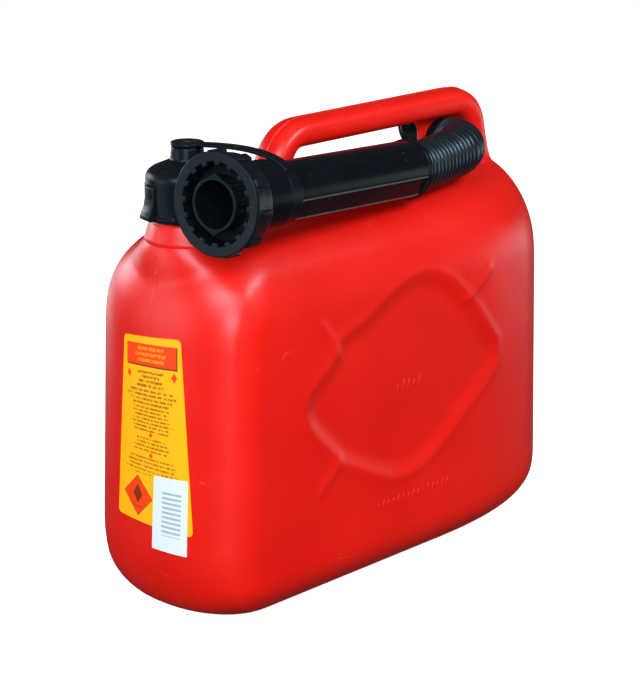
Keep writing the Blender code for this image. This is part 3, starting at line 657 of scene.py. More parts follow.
def reliefHeight(spots):
    # How far the side stands proud of its plain face at each (x, z), in metres
    distance, crossings = lineDistance(spots, relief["panel"], True)
    inside = np.where(crossings % 2 == 1, distance, -distance)
    height = -relief["depth"] * ramp(inside, -relief["slope"] * 0.4, relief["slope"])
    height += relief["lip"] * np.exp(-(((inside + relief["lipOut"]) / relief["lipWidth"]) ** 2))
    for crease in relief["creases"]:
        away, _ = lineDistance(spots, crease, False)
        height += relief["crease"] * np.exp(-((away / relief["creaseWidth"]) ** 2))
    return height


# Where the rough skin is relaxed, each as the two ends of a ramp: the neck's foot and the handle's two feet
soften = {"rounds": 6, "neckRounds": 12, "footRounds": 26, "share": 0.5, "rearShare": 0.25,
          "flat": (0.046, 0.053), "ledge": (0.2045, 0.2055), "ledgeOut": (0.021, 0.023),
          "neckFrom": (0.176, 0.184), "neckTo": (0.1940, 0.1968), "neckOut": (0.036, 0.046),
          "footFrom": (-0.026, -0.014), "footTo": (0.004, 0.011), "footSide": (0.022, 0.030),
          "frontFoot": ((-0.098, -0.088), (-0.040, -0.030)), "rearFoot": (0.078, 0.088)}


def relax(points, edges, weight, rounds):
    for _ in range(rounds):
        points = points + (neighbourMean(points, edges) - points) * weight[:, None]
    return points


def canSkin():
    rough = bpy.data.meshes.new("roughCan")
    bm = bmesh.new()
    for part in (vessel(0.0, 4), handle(0.0, 64, (20, 24, 24)), neckFlare(), web()):
        bm.from_mesh(part)
    bm.to_mesh(rough)
    bm.free()
    thing = placed("roughCan", rough)
    step = thing.modifiers.new("Voxels", "REMESH")
    step.mode, step.voxel_size, step.adaptivity = "VOXEL", can["voxel"], 0.0
    mesh = settled("canSkin", thing)
    points, edges = meshPoints(mesh), meshEdges(mesh)
    x, y, z = points.T
    out = np.hypot(x - neck["x"], y)
    ridge, share = can["ridge"], soften["share"]
    atNeck = ramp(z, *soften["neckFrom"]) * (1 - ramp(z, *soften["neckTo"]))
    atNeck = atNeck * (1 - ramp(out, *soften["neckOut"]))
    footFrom, footTo = [[ridge + rise for rise in soften[key]] for key in ("footFrom", "footTo")]
    atFoot = ramp(z, *footFrom) * (1 - ramp(z, *footTo))
    frontFoot = ramp(x, *soften["frontFoot"][0]) - ramp(x, *soften["frontFoot"][1])
    atFoot *= (1 - ramp(np.abs(y), *soften["footSide"])) * (frontFoot + ramp(x, *soften["rearFoot"]))
    everywhere = share * (1 - ramp(z, *soften["ledge"]) * (1 - ramp(out, *soften["ledgeOut"])))
    points = relax(points, edges, everywhere, soften["rounds"])
    points = relax(points, edges, share * np.clip(atNeck, 0, 1), soften["neckRounds"])
    atFoot = share * np.clip(atFoot, 0, 1) * np.where(x > 0.06, soften["rearShare"], 1.0)
    points = relax(points, edges, atFoot, soften["footRounds"])
    x, y, z = points.T
    sway = can["sway"] * (np.sin(x * 41 + 1.3) * np.sin(z * 37 + 0.4) + np.sin(x * 23 - z * 29))
    moved = reliefHeight(points[:, [0, 2]] * 1000) + sway * ramp(z, 0.02, 0.05) - can["slack"]
    points[:, 1] += np.sign(y) * ramp(np.abs(y), *soften["flat"]) * moved
    points[:, 0] -= can["tuck"] * ramp(x, 0.12, 0.148)
    points[:, 2] = np.maximum(points[:, 2], 0.0)
    mesh.vertices.foreach_set("co", points.astype(np.float32).ravel())
    mesh.update()
    return mesh


def buildCan():
    skin = placed("canShell", canSkin())
    inner, deep = neck["bore"], neck["beadLow"] - neck["boreDepth"]
    bore = turned([(inner, deep), (inner, neck["top"])], 64, False)
    reach, half = nozzle["base"] + gap, grip["webThick"] * 1.5
    hole = turned([(reach, -half), (reach, half)], 64, False)
    hole.transform(Matrix.Translation((hoseEnd.x, 0, hoseEnd.z)) @ Matrix.Rotation(pi / 2, 4, "X"))
    holes = [vessel(can["wall"], 2), handle(can["gripWall"], 24, (5, 8, 4))]
    holes += [meshFrom("bore", onNeck(bore)), meshFrom("webHole", hole)]
    cutters = [placed("cut", mesh) for mesh in holes]
    for cut in cutters:
        step = skin.modifiers.new("Cut", "BOOLEAN")
        step.operation, step.solver, step.object = "DIFFERENCE", "MANIFOLD", cut
    mesh = settled("canShell", skin, cutters)
    shell = wornPiece("canShell", mesh, red, 25.0, 90.0, 60)
    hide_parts("body")
    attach(shell, "can")
    print("can shell:", len(mesh.vertices), "points,", sum(len(p.vertices) - 2 for p in mesh.polygons),
          "triangles")
    return shell


# The spout's own frame and the hose's middle line
spout = {"front": Vector((-0.147, -0.0518, 0.2270)), "rear": Vector((0.0178, -0.0327, 0.2162)),
         "tube": 0.0158, "bore": 0.0130, "mouth": 0.0136, "mouthBore": 0.0118, "proud": 0.0010,
         "nib": 0.0018, "root": 0.01825, "rootEnd": 0.0398, "nibSpread": 0.30, "lip": 0.0007,
         "flatMiddle": 299.0, "flatHalf": 22.0, "lineWidth": 0.0009, "lineProud": 0.00028, "flange": 0.0201,
         "flangeFront": 0.0097, "flangeBack": 0.0120}
hose = {"crest": 0.0140, "valley": 0.0131, "straight": 0.0455, "bend": 0.0192, "cuff": 0.0060,
        "endBand": 0.0030, "rise": 0.0031, "ribs": 20, "cuffRadius": 0.0127, "wall": 0.0014}
nozzle = {"base": 0.0120, "tip": 0.0100, "wall": 0.0020, "cuff": 0.0110, "length": 0.0330, "slant": 0.0130}
spoutAxis = (spout["rear"] - spout["front"]).normalized()
spoutLength = (spout["rear"] - spout["front"]).length


def spoutFrame(along=0.0):
    side = Vector((0, 0, 1)).cross(spoutAxis).normalized()
    turn = Matrix((spoutAxis, side, spoutAxis.cross(side))).transposed().to_4x4()
    return Matrix.Translation(spout["front"] + spoutAxis * along) @ turn


def onSpout(shape):
    # A shape made round Z, laid along the spout
    shape.transform(spoutFrame() @ Matrix.Rotation(pi / 2, 4, "Y"))
    return shape


def hosePoint(run):
    heading = atan2(spoutAxis.y, spoutAxis.x)
    slope = spoutAxis.z / hypot(spoutAxis.x, spoutAxis.y)
    if run <= 0:
        return spout["rear"] + spoutAxis * run
    t = run / hoseLength
    turn = heading + max(0.0, run - hose["straight"]) / hose["bend"]
    before = min(run, hose["straight"])
    x = before * cos(heading) + hose["bend"] * (sin(turn) - sin(heading))
    y = before * sin(heading) + hose["bend"] * (cos(heading) - cos(turn))
    z = slope * hoseLength * t * (1 - t) ** 2 + hose["rise"] * t * t * (3 - 2 * t)
    return spout["rear"] + Vector((x, y, z))


hoseLength = hose["straight"] + hose["bend"] * (pi / 2 - atan2(spoutAxis.y, spoutAxis.x))
hoseEnd = hosePoint(hoseLength)
canShell = buildCan()
canTree = BVHTree.FromObject(canShell, bpy.context.evaluated_depsgraph_get())


def lineMesh(points):
    mesh = bpy.data.meshes.new("line")
    mesh.from_pydata([tuple(p) for p in points], [(i, i + 1) for i in range(len(points) - 1)], [])
    return mesh


# The parting line's heights along the front, the foot and the rear: from, to and how many points
seam = {"width": 0.0011, "proud": 0.00012, "sunk": 0.22, "reach": 0.008,
        "neckHeights": (0.189, 0.192, 0.195), "neckRadius": 0.0215, "front": (0.1515, 0.186, 24),
        "foot": (0.006, 0.0470, 30), "rear": (0.192, 0.006, 90)}


def buildSeam():
    # The parting line of the two mould halves: down the front, over the handle and down the rear
    front, foot = [[Vector((frontX(z), 0, z)) for z in np.linspace(*seam[key])]
                   for key in ("front", "foot")]
    front += [Vector((neck["x"] - seam["neckRadius"], 0, z)) for z in seam["neckHeights"]]
    pairs = gripPairs(30, 24, 40)
    over = [outer for outer, _ in pairs if outer.z > can["ridge"] - 0.012]
    rear = [Vector((rearX(z), 0, z)) for z in np.linspace(*seam["rear"])]
    webFront = grip["rear"] - grip["webWidth"] - 0.006
    inner = [inner for _, inner in pairs if inner.z > can["ridge"] + 0.001 and inner.x < webFront]
    lines = []
    for line in (front, over + rear, inner, foot):
        snapped = []
        for point in line:
            place, normal, _, away = canTree.find_nearest(point)
            if place and away < seam["reach"] and abs(normal.y) < 0.4:
                out = Vector((normal.x, 0, normal.z)).normalized()
                lift = seam["proud"] - seam["width"] * seam["sunk"]
                snapped.append(Vector((place.x, 0, place.z)) + out * lift)
        lines.append(snapped)
    share = 1.0 - neck["narrowFront"]
    skirt = ((neck["ledge"], neck["ledgeZ"]), (neck["waist"], neck["waistZ"]))
    lines.append([Vector((neck["x"] - share * radius + 0.0002, 0, z)) for radius, z in skirt])
    for number, line in enumerate(lines):
        piece = grown(f"canSeam{number + 1}", partingBead, lineMesh(line), red, Width=seam["width"])
        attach(piece, "can")


buildSeam()


# Plain raised strokes on the sides. Each row: first x, middle z, height, count and step, in mm
marks = {"stroke": 0.0008, "proud": 0.00025, "lean": 14.0,
         "rows": [(-12, 103.5, 8.0, 5, 4.4), (-29, 40.5, 5.0, 15, 4.1)]}


def buildMarks():
    for side, name in ((-1, "mouldedMarks"), (1, "mouldedMarksFar")):
        bm = bmesh.new()
        for start, middle, tall, count, step in marks["rows"]:
            for i in range(count):
                x, height = (start + i * step) / 1000, tall / 1000 * (0.55 + 0.45 * (i * 5 % 3) / 2)
                outside = Vector((x, side * 0.2, middle / 1000))
                place, _, _, _ = canTree.ray_cast(outside, Vector((0, -side, 0)))
                shape = Matrix.Diagonal((marks["stroke"], marks["proud"] * 2, height, 1.0))
                turn = Matrix.Rotation(radians(-side * marks["lean"]), 4, "Y")
                bmesh.ops.create_cube(bm, size=1.0, matrix=Matrix.Translation(place) @ turn @ shape)
        bmesh.ops.bevel(bm, geom=list(bm.edges), offset=0.0002, segments=2, profile=0.5, affect="EDGES")
        piece = addPiece(name, meshFrom(name, bm), red, 50)
        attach(piece, "can")


buildMarks()


def buildNeck():
    inner, core, bead = neck["bore"], neck["core"], neck["bead"]
    low, high, top = neck["beadLow"] - 0.0012, neck["beadHigh"], neck["top"]
    profile = softProfile([(inner, low, 0), (bead - 0.0009, low, 0.0003), (bead - 0.0003, high, 0.0006),
                           (core, high + 0.0022, 0.0006), (core, top, 0.0008), (inner, top, 0.0008)])
    piece = wornPiece("neckFinish", meshFrom("neckFinish", onNeck(turned(profile, 128))), red, 250.0, 900.0)
    under = neck["ledgeZ"] - 0.0030
    skirt = softProfile([(core, under, 0), (neck["ledge"] - 0.0004, under, 0.0003),
                         (neck["ledge"], neck["ledgeZ"], 0.0004), (neck["waist"], neck["waistZ"], 0.0030),
                         (neck["side"], neck["flareTop"], 0.0004), (core, neck["flareTop"], 0)])
    rings = neckRings(skirt, neck["narrowFront"], 160)
    foot = addPiece("neckSkirt", meshFrom("neckSkirt", skinOver(rings, True)), red, 50)
    thread = threadOn("neckThread", core, neck["threadTurns"], red)
    onNeck(thread.data, neck["threadLow"])
    for part in (piece, foot, thread):
        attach(part, "can")


buildNeck()
print("can, seam and neck ready")

# The screw cap
cap = {"inner": 0.0204, "radius": 0.0218, "bottom": 0.2078, "rim": 0.0008, "rimHeight": 0.0027,
       "ceiling": 0.2312, "shoulder": 0.2302, "coneBase": 0.2332, "bossRadius": 0.0082, "bossBase": 0.2377,
       "bossTop": 0.2442, "bossBore": 0.0068, "peg": 0.0035, "pegTop": 0.2457, "pegBore": 0.0030,
       "pegDepth": 0.0060, "lugAngle": 166.0, "lugWidth": 0.0090, "lugReach": 0.0044, "ribWidth": 0.0020,
       "ribReach": 0.0011, "ribTop": 0.2257}


def buildCap():
    radius, bottom, shoulder = cap["radius"], cap["bottom"], cap["shoulder"]
    rim, rimTop = radius + cap["rim"], bottom + cap["rimHeight"]
    profile = softProfile([(0.0001, cap["bossTop"] - 0.0014, 0),
                           (cap["bossBore"], cap["bossTop"] - 0.0014, 0),
                           (cap["bossBore"], cap["ceiling"], 0), (cap["inner"], cap["ceiling"], 0.0004),
                           (cap["inner"], bottom, 0.0003), (rim - 0.0002, bottom, 0.0005),
                           (rim, rimTop - 0.0002, 0.0007), (radius, rimTop + 0.0005, 0.0005),
                           (radius - 0.0001, shoulder - 0.0002, 0.0018),
                           (radius - 0.0024, cap["coneBase"] - 0.0001, 0.0026),
                           (cap["bossRadius"] + 0.0007, cap["bossBase"] - 0.0002, 0.0012),
                           (cap["bossRadius"], cap["bossTop"], 0.0009),
                           (cap["peg"], cap["bossTop"], 0.0002), (cap["peg"], cap["pegTop"], 0.0005),
                           (cap["pegBore"], cap["pegTop"], 0.0004),
                           (cap["pegBore"], cap["pegTop"] - cap["pegDepth"] * 0.6, 0.0003),
                           (0.0001, cap["pegTop"] - cap["pegDepth"] * 0.6, 0)], 5, False)
    shell = meshFrom("capShell", onNeck(turned(profile, 160, False)))
    pieces = [wornPiece("capShell", shell, satin, 250.0, 1000.0)]
    bury, reach, ribTop = 0.0008, cap["lugReach"], cap["ribTop"]
    ribOut = radius + cap["ribReach"]
    rib = [(radius - bury, bottom + 0.0014), (ribOut, bottom + 0.0014), (ribOut, ribTop - 0.0012),
           (radius - bury, ribTop)]
    lug = sidePlate([(radius - bury, bottom + 0.0004), (radius + reach - 0.0014, bottom + 0.0004),
                     (radius + reach, bottom + 0.0016), (radius + reach - 0.0002, bottom + 0.0032),
                     (radius + reach * 0.66, bottom + 0.0052), (radius + reach * 0.42, bottom + 0.0080),
                     (radius + 0.0012, bottom + 0.0115), (radius + 0.0011, ribTop - 0.0006),
                     (radius - bury, ribTop + 0.0010)], cap["lugWidth"], 0.0005)
    first = cap["lugAngle"]
    for name, start in (("capRibs", first + 45), ("capRibsBehind", first + 225)):
        block = meshFrom("rib", sidePlate(rib, cap["ribWidth"], 0.0004))
        pieces.append(grown(name, roundTheAxis, block, satin, 45, Count=3, First=start, Step=45.0))
    lug = meshFrom("lug", lug)
    pieces.append(grown("capLugs", roundTheAxis, lug, satin, 45, Count=2, First=first, Step=180.0))
    thread = threadOn("capThread", cap["inner"], 2.0, satin)
    thread.data.transform(Matrix.Translation((0, 0, neck["threadLow"] + neck["threadPitch"] * 0.5)))
    pieces.append(thread)
    for piece in pieces[1:]:
        onNeck(piece.data)
    for piece in pieces:
        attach(piece, "cap")
    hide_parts("cap")


buildCap()

# The collar that screws the spout on the neck
collar = {"bore": 0.0207, "radius": 0.0262, "length": 0.0150, "back": 0.0027, "teeth": 16,
          "toothReach": 0.0016, "toothWidth": 0.0032, "toothLength": 0.0028, "bars": 10, "barReach": 0.0004,
          "barWidth": 0.0046, "round": 0.0006, "narrow": 0.0019, "firstBar": 24.0, "threadStart": 0.0053,
          "threadTurns": 0.75}


def buildCollar():
    inner, outer, back = collar["bore"], collar["radius"], collar["length"]
    hole, behind = spout["root"] + gap, outer - collar["narrow"]
    profile = softProfile([(inner, 0.0002, 0.0005), (outer - 0.0002, 0.0, collar["round"]),
                           (outer - 0.0001, 0.0022, 0.0004), (outer - 0.0006, 0.0027, 0.0003),
                           (behind, back - 0.0016, 0.0010), (behind - 0.0004, back, collar["round"]),
                           (hole, back, 0.0003), (hole, back - collar["back"], 0.0003),
                           (inner, back - collar["back"], 0.0003)])
    shell = meshFrom("collarShell", onSpout(turned(profile, 160)))
    pieces = [wornPiece("collarShell", shell, satin, 200.0, 900.0)]
    tip, toothEnd = inner - collar["toothReach"], 0.0002 + collar["toothLength"]
    crest = outer + collar["barReach"]
    tooth = sidePlate([(inner + 0.0012, 0.0002), (tip, 0.0002), (tip, toothEnd),
                       (inner + 0.0012, toothEnd)], collar["toothWidth"], 0.0003)
    bar = sidePlate([(outer - 0.0032, 0.0016), (crest, 0.0020), (crest, back - 0.0032),
                     (outer - 0.0032, back - 0.0026)], collar["barWidth"], 0.0005)
    for name, block, count, first in (("collarTeeth", tooth, collar["teeth"], 0.0),
                                      ("collarBars", bar, collar["bars"], collar["firstBar"])):
        block, step = meshFrom(name, block), 360 / count
        pieces.append(grown(name, roundTheAxis, block, satin, 45, Count=count, First=first, Step=step))
    pieces.append(threadOn("collarThread", inner, collar["threadTurns"], satin))
    pieces[-1].data.transform(Matrix.Translation((0, 0, collar["threadStart"])))
    for piece in pieces[1:]:
        onSpout(piece.data)
    for piece in pieces:
        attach(piece, "collar")
    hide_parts("collar")


buildCollar()
print("cap and collar ready")


def buildTube():
    tube, root, rootEnd, lip = [spout[key] for key in ("tube", "root", "rootEnd", "lip")]
    back = spoutLength
    profile = softProfile([(spout["mouthBore"], -spout["proud"], 0.0003),
                           (spout["mouth"], -spout["proud"], 0.0004), (spout["mouth"], 0.0100, 0),
                           (spout["mouth"], spout["flangeFront"], 0.0002),
                           (spout["flange"], spout["flangeFront"], 0.0003),
                           (spout["flange"], spout["flangeBack"], 0.0003),
                           (root, spout["flangeBack"], 0.0002), (root, rootEnd - 0.0006, 0.0005),
                           (tube, rootEnd, 0.0004), (tube, back - 0.0026, 0.0004),
                           (tube + lip, back - 0.0022, 0.0004), (tube + lip, back, 0.0005),
                           (spout["bore"], back, 0.0003), (spout["bore"], rootEnd, 0.0008),
                           (spout["mouthBore"], spout["flangeBack"], 0.0008)])
    bm = turned(profile, 160)
    for vert in bm.verts:  # the mouth's two pointed nibs, above and below
        out = hypot(vert.co.x, vert.co.y)
        if vert.co.z < 0.009 and out > spout["mouth"] - 0.0006:
            near = max(0.0, 1 - abs(sin(atan2(vert.co.y, vert.co.x))) / spout["nibSpread"])
            push = spout["nib"] * near * (1 - max(0.0, vert.co.z - 0.004) / 0.005)
            vert.co.x *= 1 + push / out
            vert.co.y *= 1 + push / out
    middle, half = radians(spout["flatMiddle"]), radians(spout["flatHalf"])
    for vert in bm.verts:  # a long flat panel low on the outer side, between two sharp edges
        out = hypot(vert.co.x, vert.co.y)
        off = (atan2(vert.co.y, vert.co.x) - middle + pi) % (2 * pi) - pi
        if abs(abs(out) - tube) < 0.00003 and abs(off) < half:
            reach = tube * (cos(half) / cos(off))
            vert.co.x *= reach / out
            vert.co.y *= reach / out
    piece = wornPiece("spoutTubeShell", meshFrom("spoutTube", onSpout(bm)), black, 150.0, 700.0)
    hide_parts("spout_tube")
    crest = tube + spout["lineProud"]
    ridge = sidePlate([(tube - 0.0004, rootEnd + 0.0105), (crest, rootEnd + 0.0110), (crest, back - 0.0040),
                       (tube - 0.0004, back - 0.0034)], spout["lineWidth"], 0.0002)
    lines = grown("spoutTubeLines", roundTheAxis, meshFrom("line", ridge), paintedLineHighlight, 45, Count=2,
                  First=spout["flatMiddle"] - spout["flatHalf"], Step=spout["flatHalf"] * 2)
    markWear(lines.data, -1e6, -9e5)  # wear mask set full all along: the lines are painted lighter, a painted highlight
    onSpout(lines.data)
    for part in (piece, lines):
        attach(part, "can")


buildTube()


def buildHose():
    # Ribbed, its cuff inside the tube and its end on the nozzle
    line = lineMesh([hosePoint(run) for run in np.linspace(-hose["cuff"], hoseLength, 120)])
    whole = hoseLength + hose["cuff"]
    piece = grown("hoseSkin", ribbedHose, line, ribbed, Ribs=hose["ribs"], Crest=hose["crest"],
                  Valley=hose["valley"], Sides=72, Start=(hose["cuff"] + 0.0002) / whole,
                  End=1.0 - hose["endBand"] / whole)
    step = piece.modifiers.new("Wall", "SOLIDIFY")
    step.thickness, step.offset = hose["wall"], -1.0
    mesh = settled("hose", piece)
    points, rear, axis = meshPoints(mesh), np.array(spout["rear"]), np.array(spoutAxis)
    back = (points - rear) @ axis
    near = (np.linalg.norm(points - rear, axis=1) < 0.03) & (back < 0.0001)
    line = rear + back[:, None] * axis
    out = np.linalg.norm(points - line, axis=1)
    shrink = np.where(near, np.minimum(1.0, hose["cuffRadius"] / np.maximum(out, 1e-6)), 1.0)
    points = line + (points - line) * shrink[:, None]
    mesh.vertices.foreach_set("co", points.astype(np.float32).ravel())
    piece = wornPiece("hoseSkin", mesh, ribbed, 400.0, 1600.0, 70)
    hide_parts("bellows")
    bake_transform(piece)


buildHose()


def buildNozzle():
    base, tip, wall, length = nozzle["base"], nozzle["tip"], nozzle["wall"], nozzle["length"]
    step = base - tip
    profile = softProfile([(base - wall, 0.0, 0.0002), (base, 0.0, 0.0003), (base, nozzle["cuff"], 0.0006),
                           (base - step / 2, nozzle["cuff"] + step, 0.0008),
                           (tip + 0.0003, length - 0.0030, 0.0006), (tip, length - 0.0022, 0.0004),
                           (tip, length, 0.0006), (tip - wall, length, 0.0005)])
    bm = turned(profile, 96)
    for vert in bm.verts:  # the end is cut aslant, shorter below
        if vert.co.z > length - 0.004:
            vert.co.z -= nozzle["slant"] * (1 + vert.co.y / tip) / 2
    bm.transform(Matrix.Translation(hoseEnd + Vector((0, gap, 0))) @ Matrix.Rotation(-pi / 2, 4, "X"))
    piece = wornPiece("nozzleShell", meshFrom("nozzle", bm), black, 300.0, 1200.0)
    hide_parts("nozzle")
    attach(piece, "nozzle")


buildNozzle()
print("spout, hose and nozzle ready")

# The strap: an eye on the cap's peg, a band over the collar's root and a ring round the tube
strap = {"thickness": 0.0020, "band": 0.0022, "width": 0.0072, "eye": 0.0048, "ringWidth": 0.0085,
         "ringWall": 0.0013, "landing": -38.0, "startPull": 0.45, "endPull": 0.25, "arch": 0.0017}


def strapBand(low, inner, hole, middle):
    landing = radians(strap["landing"])
    place = spoutFrame(middle)
    seat = hole + strap["ringWall"]
    end = place @ Vector((0, seat * sin(landing), seat * cos(landing)))
    over = place.to_3x3() @ Vector((0, cos(landing), -sin(landing)))
    start = Vector((neck["x"], 0, low + strap["thickness"] / 2))
    start += (end - start).normalized() * (inner + strap["eye"] / 2)
    start.z = low + strap["thickness"] / 2
    run = (end - start).length
    ahead = Vector((end.x - start.x, end.y - start.y, 0)).normalized()
    a, d = start, end
    b = start + ahead * run * strap["startPull"] + Vector((0, 0, strap["arch"]))
    c = end + over * run * strap["endPull"]
    first, last = ahead.cross(Vector((0, 0, 1))), -spoutAxis
    first = -first if first.dot(last) < 0 else first
    rings = []
    for t in np.linspace(0, 1, 49):
        point = a * (1 - t) ** 3 + b * 3 * t * (1 - t) ** 2 + c * 3 * t * t * (1 - t) + d * t**3
        along = ((b - a) * (1 - t) ** 2 + (c - b) * 2 * t * (1 - t) + (d - c) * t * t).normalized()
        across = first.lerp(last, t)
        across = (across - along * across.dot(along)).normalized()
        up = across.cross(along)
        half, thick = strap["width"] / 2, strap["band"] / 2
        rings.append([point + across * half * x + up * thick * y for x, y in superRing(24, 0.45, 0.6)])
    return skinOver(rings)


def buildStrap():
    low, inner, hole = cap["bossTop"] + gap, cap["peg"] + gap, spout["tube"] + gap
    high, rim, outside = low + strap["thickness"], inner + strap["eye"], hole + strap["ringWall"]
    eye = softProfile([(inner, low, 0.0003), (rim, low, 0.0005), (rim, high, 0.0007),
                       (inner, high, 0.0007)])
    front = spout["rootEnd"] + gap
    back = front + strap["ringWidth"]
    hoop = softProfile([(hole, front, 0.0002), (outside, front, 0.0004), (outside, back, 0.0004),
                        (hole, back, 0.0002)])
    parts = {"disc": onNeck(turned(eye, 96)), "ring": onSpout(turned(hoop, 128)),
             "band": strapBand(low, inner, hole, (front + back) / 2)}
    mesh = joined("strap", [meshFrom(name, bm) for name, bm in parts.items()])
    piece = wornPiece("strapBand", mesh, flexible, 350.0, 1500.0, 45)
    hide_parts("strap")
    landing = spoutFrame((front + back) / 2) @ Vector((0, 0, outside))
    middle = Vector((neck["x"], 0, low))
    toward = Vector((landing.x - middle.x, landing.y, 0)).normalized()
    tuple(middle + toward * (rim + 0.0006))
    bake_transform(piece)


buildStrap()

for name in ("cap_gasket", "spout_gasket"):
    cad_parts[name].data.materials.clear()
    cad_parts[name].data.materials.append(rubber)

# The stickers: plain printed film, with generic fields and rules in place of words and signs
labels = {"front": {"foot": -0.00355, "head": -0.00145, "tilt": (0.0008, -0.00185), "middle": 0.0996,
                    "base": 0.0540, "top": 0.0410, "height": 0.1004, "corner": 0.0025, "lift": 0.00012,
                    "film": 0.00022},
          "small": {"foot": -0.0159, "head": -0.0165, "tilt": (0.0001, -0.00055), "middle": 0.0576,
                    "base": 0.0228, "top": 0.0219, "height": 0.0403, "corner": 0.0005, "lift": 0.00040,
                    "film": 0.00020}}
ink = {"yellow": colour(0.98, 0.42, 0.0035), "orange": colour(0.86, 0.050, 0.004),
       "dark": colour(0.10, 0.022, 0.004), "white": colour(0.68, 0.76, 0.82),
       "blue": colour(0.22, 0.30, 0.38)}


def stickerSpot(made):
    # The sticker's own millimetres across and up, from its middle
    spot = made.node("ShaderNodeUVMap", uv_map="print")
    return [made.node("ShaderNodeSeparateXYZ", {0: spot}, output) * 100.0 for output in (0, 1)]


def field(x, y, middleX, middleY, halfX, halfY, soft=0.12):
    across = ((halfX - (x - middleX).size()) / soft).held()
    up = ((halfY - (y - middleY).size()) / soft).held()
    return across * up


def lozenge(x, y, middleX, middleY, half, tall=1.0, soft=0.15):
    return ((half - ((x - middleX).size() + (y - middleY).size() / tall)) / soft).held()


def rules(made, x, y, top, bottom, pitch, thick, reach, seed):
    # Rows of thin broken rules of unlike length between two heights
    down = (top - y) / pitch
    row = down.maths("FLOOR", down)
    within = down - row
    line = ((thick / pitch * 0.5 - (within - 0.5).size()) / 0.06).held()
    long = made.node("ShaderNodeTexWhiteNoise", {"W": row + seed}, noise_dimensions="1D")
    length = ((reach * (0.62 + long * 0.38) - x.size()) / 0.2).held()
    spot = made.node("ShaderNodeCombineXYZ", {"X": x * 1.5, "Y": row * 3.7 + y * 0.35})
    gaps = made.node("ShaderNodeTexNoise", {"Vector": spot, "Scale": 1.0, "Detail": 2.0},
                     noise_dimensions="2D")
    broken = ((gaps - 0.43) / 0.06).held()
    band = ((top - y) / 0.1).held() * ((y - bottom) / 0.1).held()
    return line * length * broken * band


# Lozenges on the yellow sticker: middle across and up, half width, how tall for its width, how strong, ink
lozenges = [(-16.2, 29.6, 1.7, 1.6, 1, "orange"), (16.4, 30.6, 1.9, 1.5, 1, "orange"),
            (0.1, -1.6, 1.5, 1.0, 1, "orange"), (0.2, -12.6, 1.5, 1.0, 1, "orange"),
            (-10.0, -36.2, 11.3, 1.0, 1, "dark"), (-10.0, -36.2, 10.9, 1.0, 1, "orange"),
            (-10.0, -35.2, 3.6, 1.5, 0.85, "dark")]
# Blocks of rows on it: top, bottom, pitch, thickness, reach to each side, seed
headRows = (45.4, 36.2, 3.07, 1.9, 11.5, 5.0)
rows = [(32.6, 22.9, 2.40, 1.50, 10.5, 3.0), (22.6, 13.6, 2.25, 1.30, 20.0, 9.0),
        (13.4, -0.6, 2.00, 1.05, 17.5, 21.0), (-3.0, -11.4, 2.10, 1.05, 15.5, 33.0),
        (-13.6, -23.6, 2.20, 1.10, 21.0, 47.0)]


def printedFilm(name, kind):
    made = Finish(name, IOR=1.48, Specular_IOR_Level=0.3)
    x, y = stickerSpot(made)
    spot = made.place()
    fade = made.noise(spot, 40.0, 3.0)
    crinkle = made.noise(spot, 120.0, 3.0)
    if kind == "front":
        base = made.blend((fade * 1.4 - 0.2).held() * 0.25, ink["yellow"], colour(1.0, 0.47, 0.008))
        base = made.blend(field(x, y, 0.4, 40.3, 18.2, 6.0), base, ink["dark"])
        base = made.blend(field(x, y, -0.1, 40.7, 18.0, 5.7), base, ink["orange"])
        base = made.blend(rules(made, x, y, *headRows) * 0.6, base, ink["yellow"])
        for *numbers, share, tone in lozenges:
            mask = lozenge(x, y, *numbers)
            base = made.blend(mask * share if share < 1 else mask, base, ink[tone])
        base = made.blend(field(x, y, -10.0, -42.2, 3.4, 0.35) * 0.7, base, ink["dark"])
        text = rules(made, x, y, *rows[0])
        for block in rows[1:]:
            text = text.atLeast(rules(made, x, y, *block))
        base = made.blend(text * 0.78, base, ink["dark"])
    else:
        base = made.blend((fade * 1.4 - 0.2).held() * 0.3, ink["white"], colour(0.62, 0.70, 0.76))
        down = y / 2.6
        bars = ((0.26 - (down - down.maths("FLOOR", down) - 0.5).size()) / 0.06).held()
        base = made.blend(bars * field(x, y, 1.2, 1.0, 6.2, 12.6) * 0.75, base, ink["blue"])
    made.feed(Base_Color=base, Roughness=0.34 + (fade - 0.5) * 0.12,
              Normal=made.bump(crinkle, 0.10, 0.0002))
    return made.material


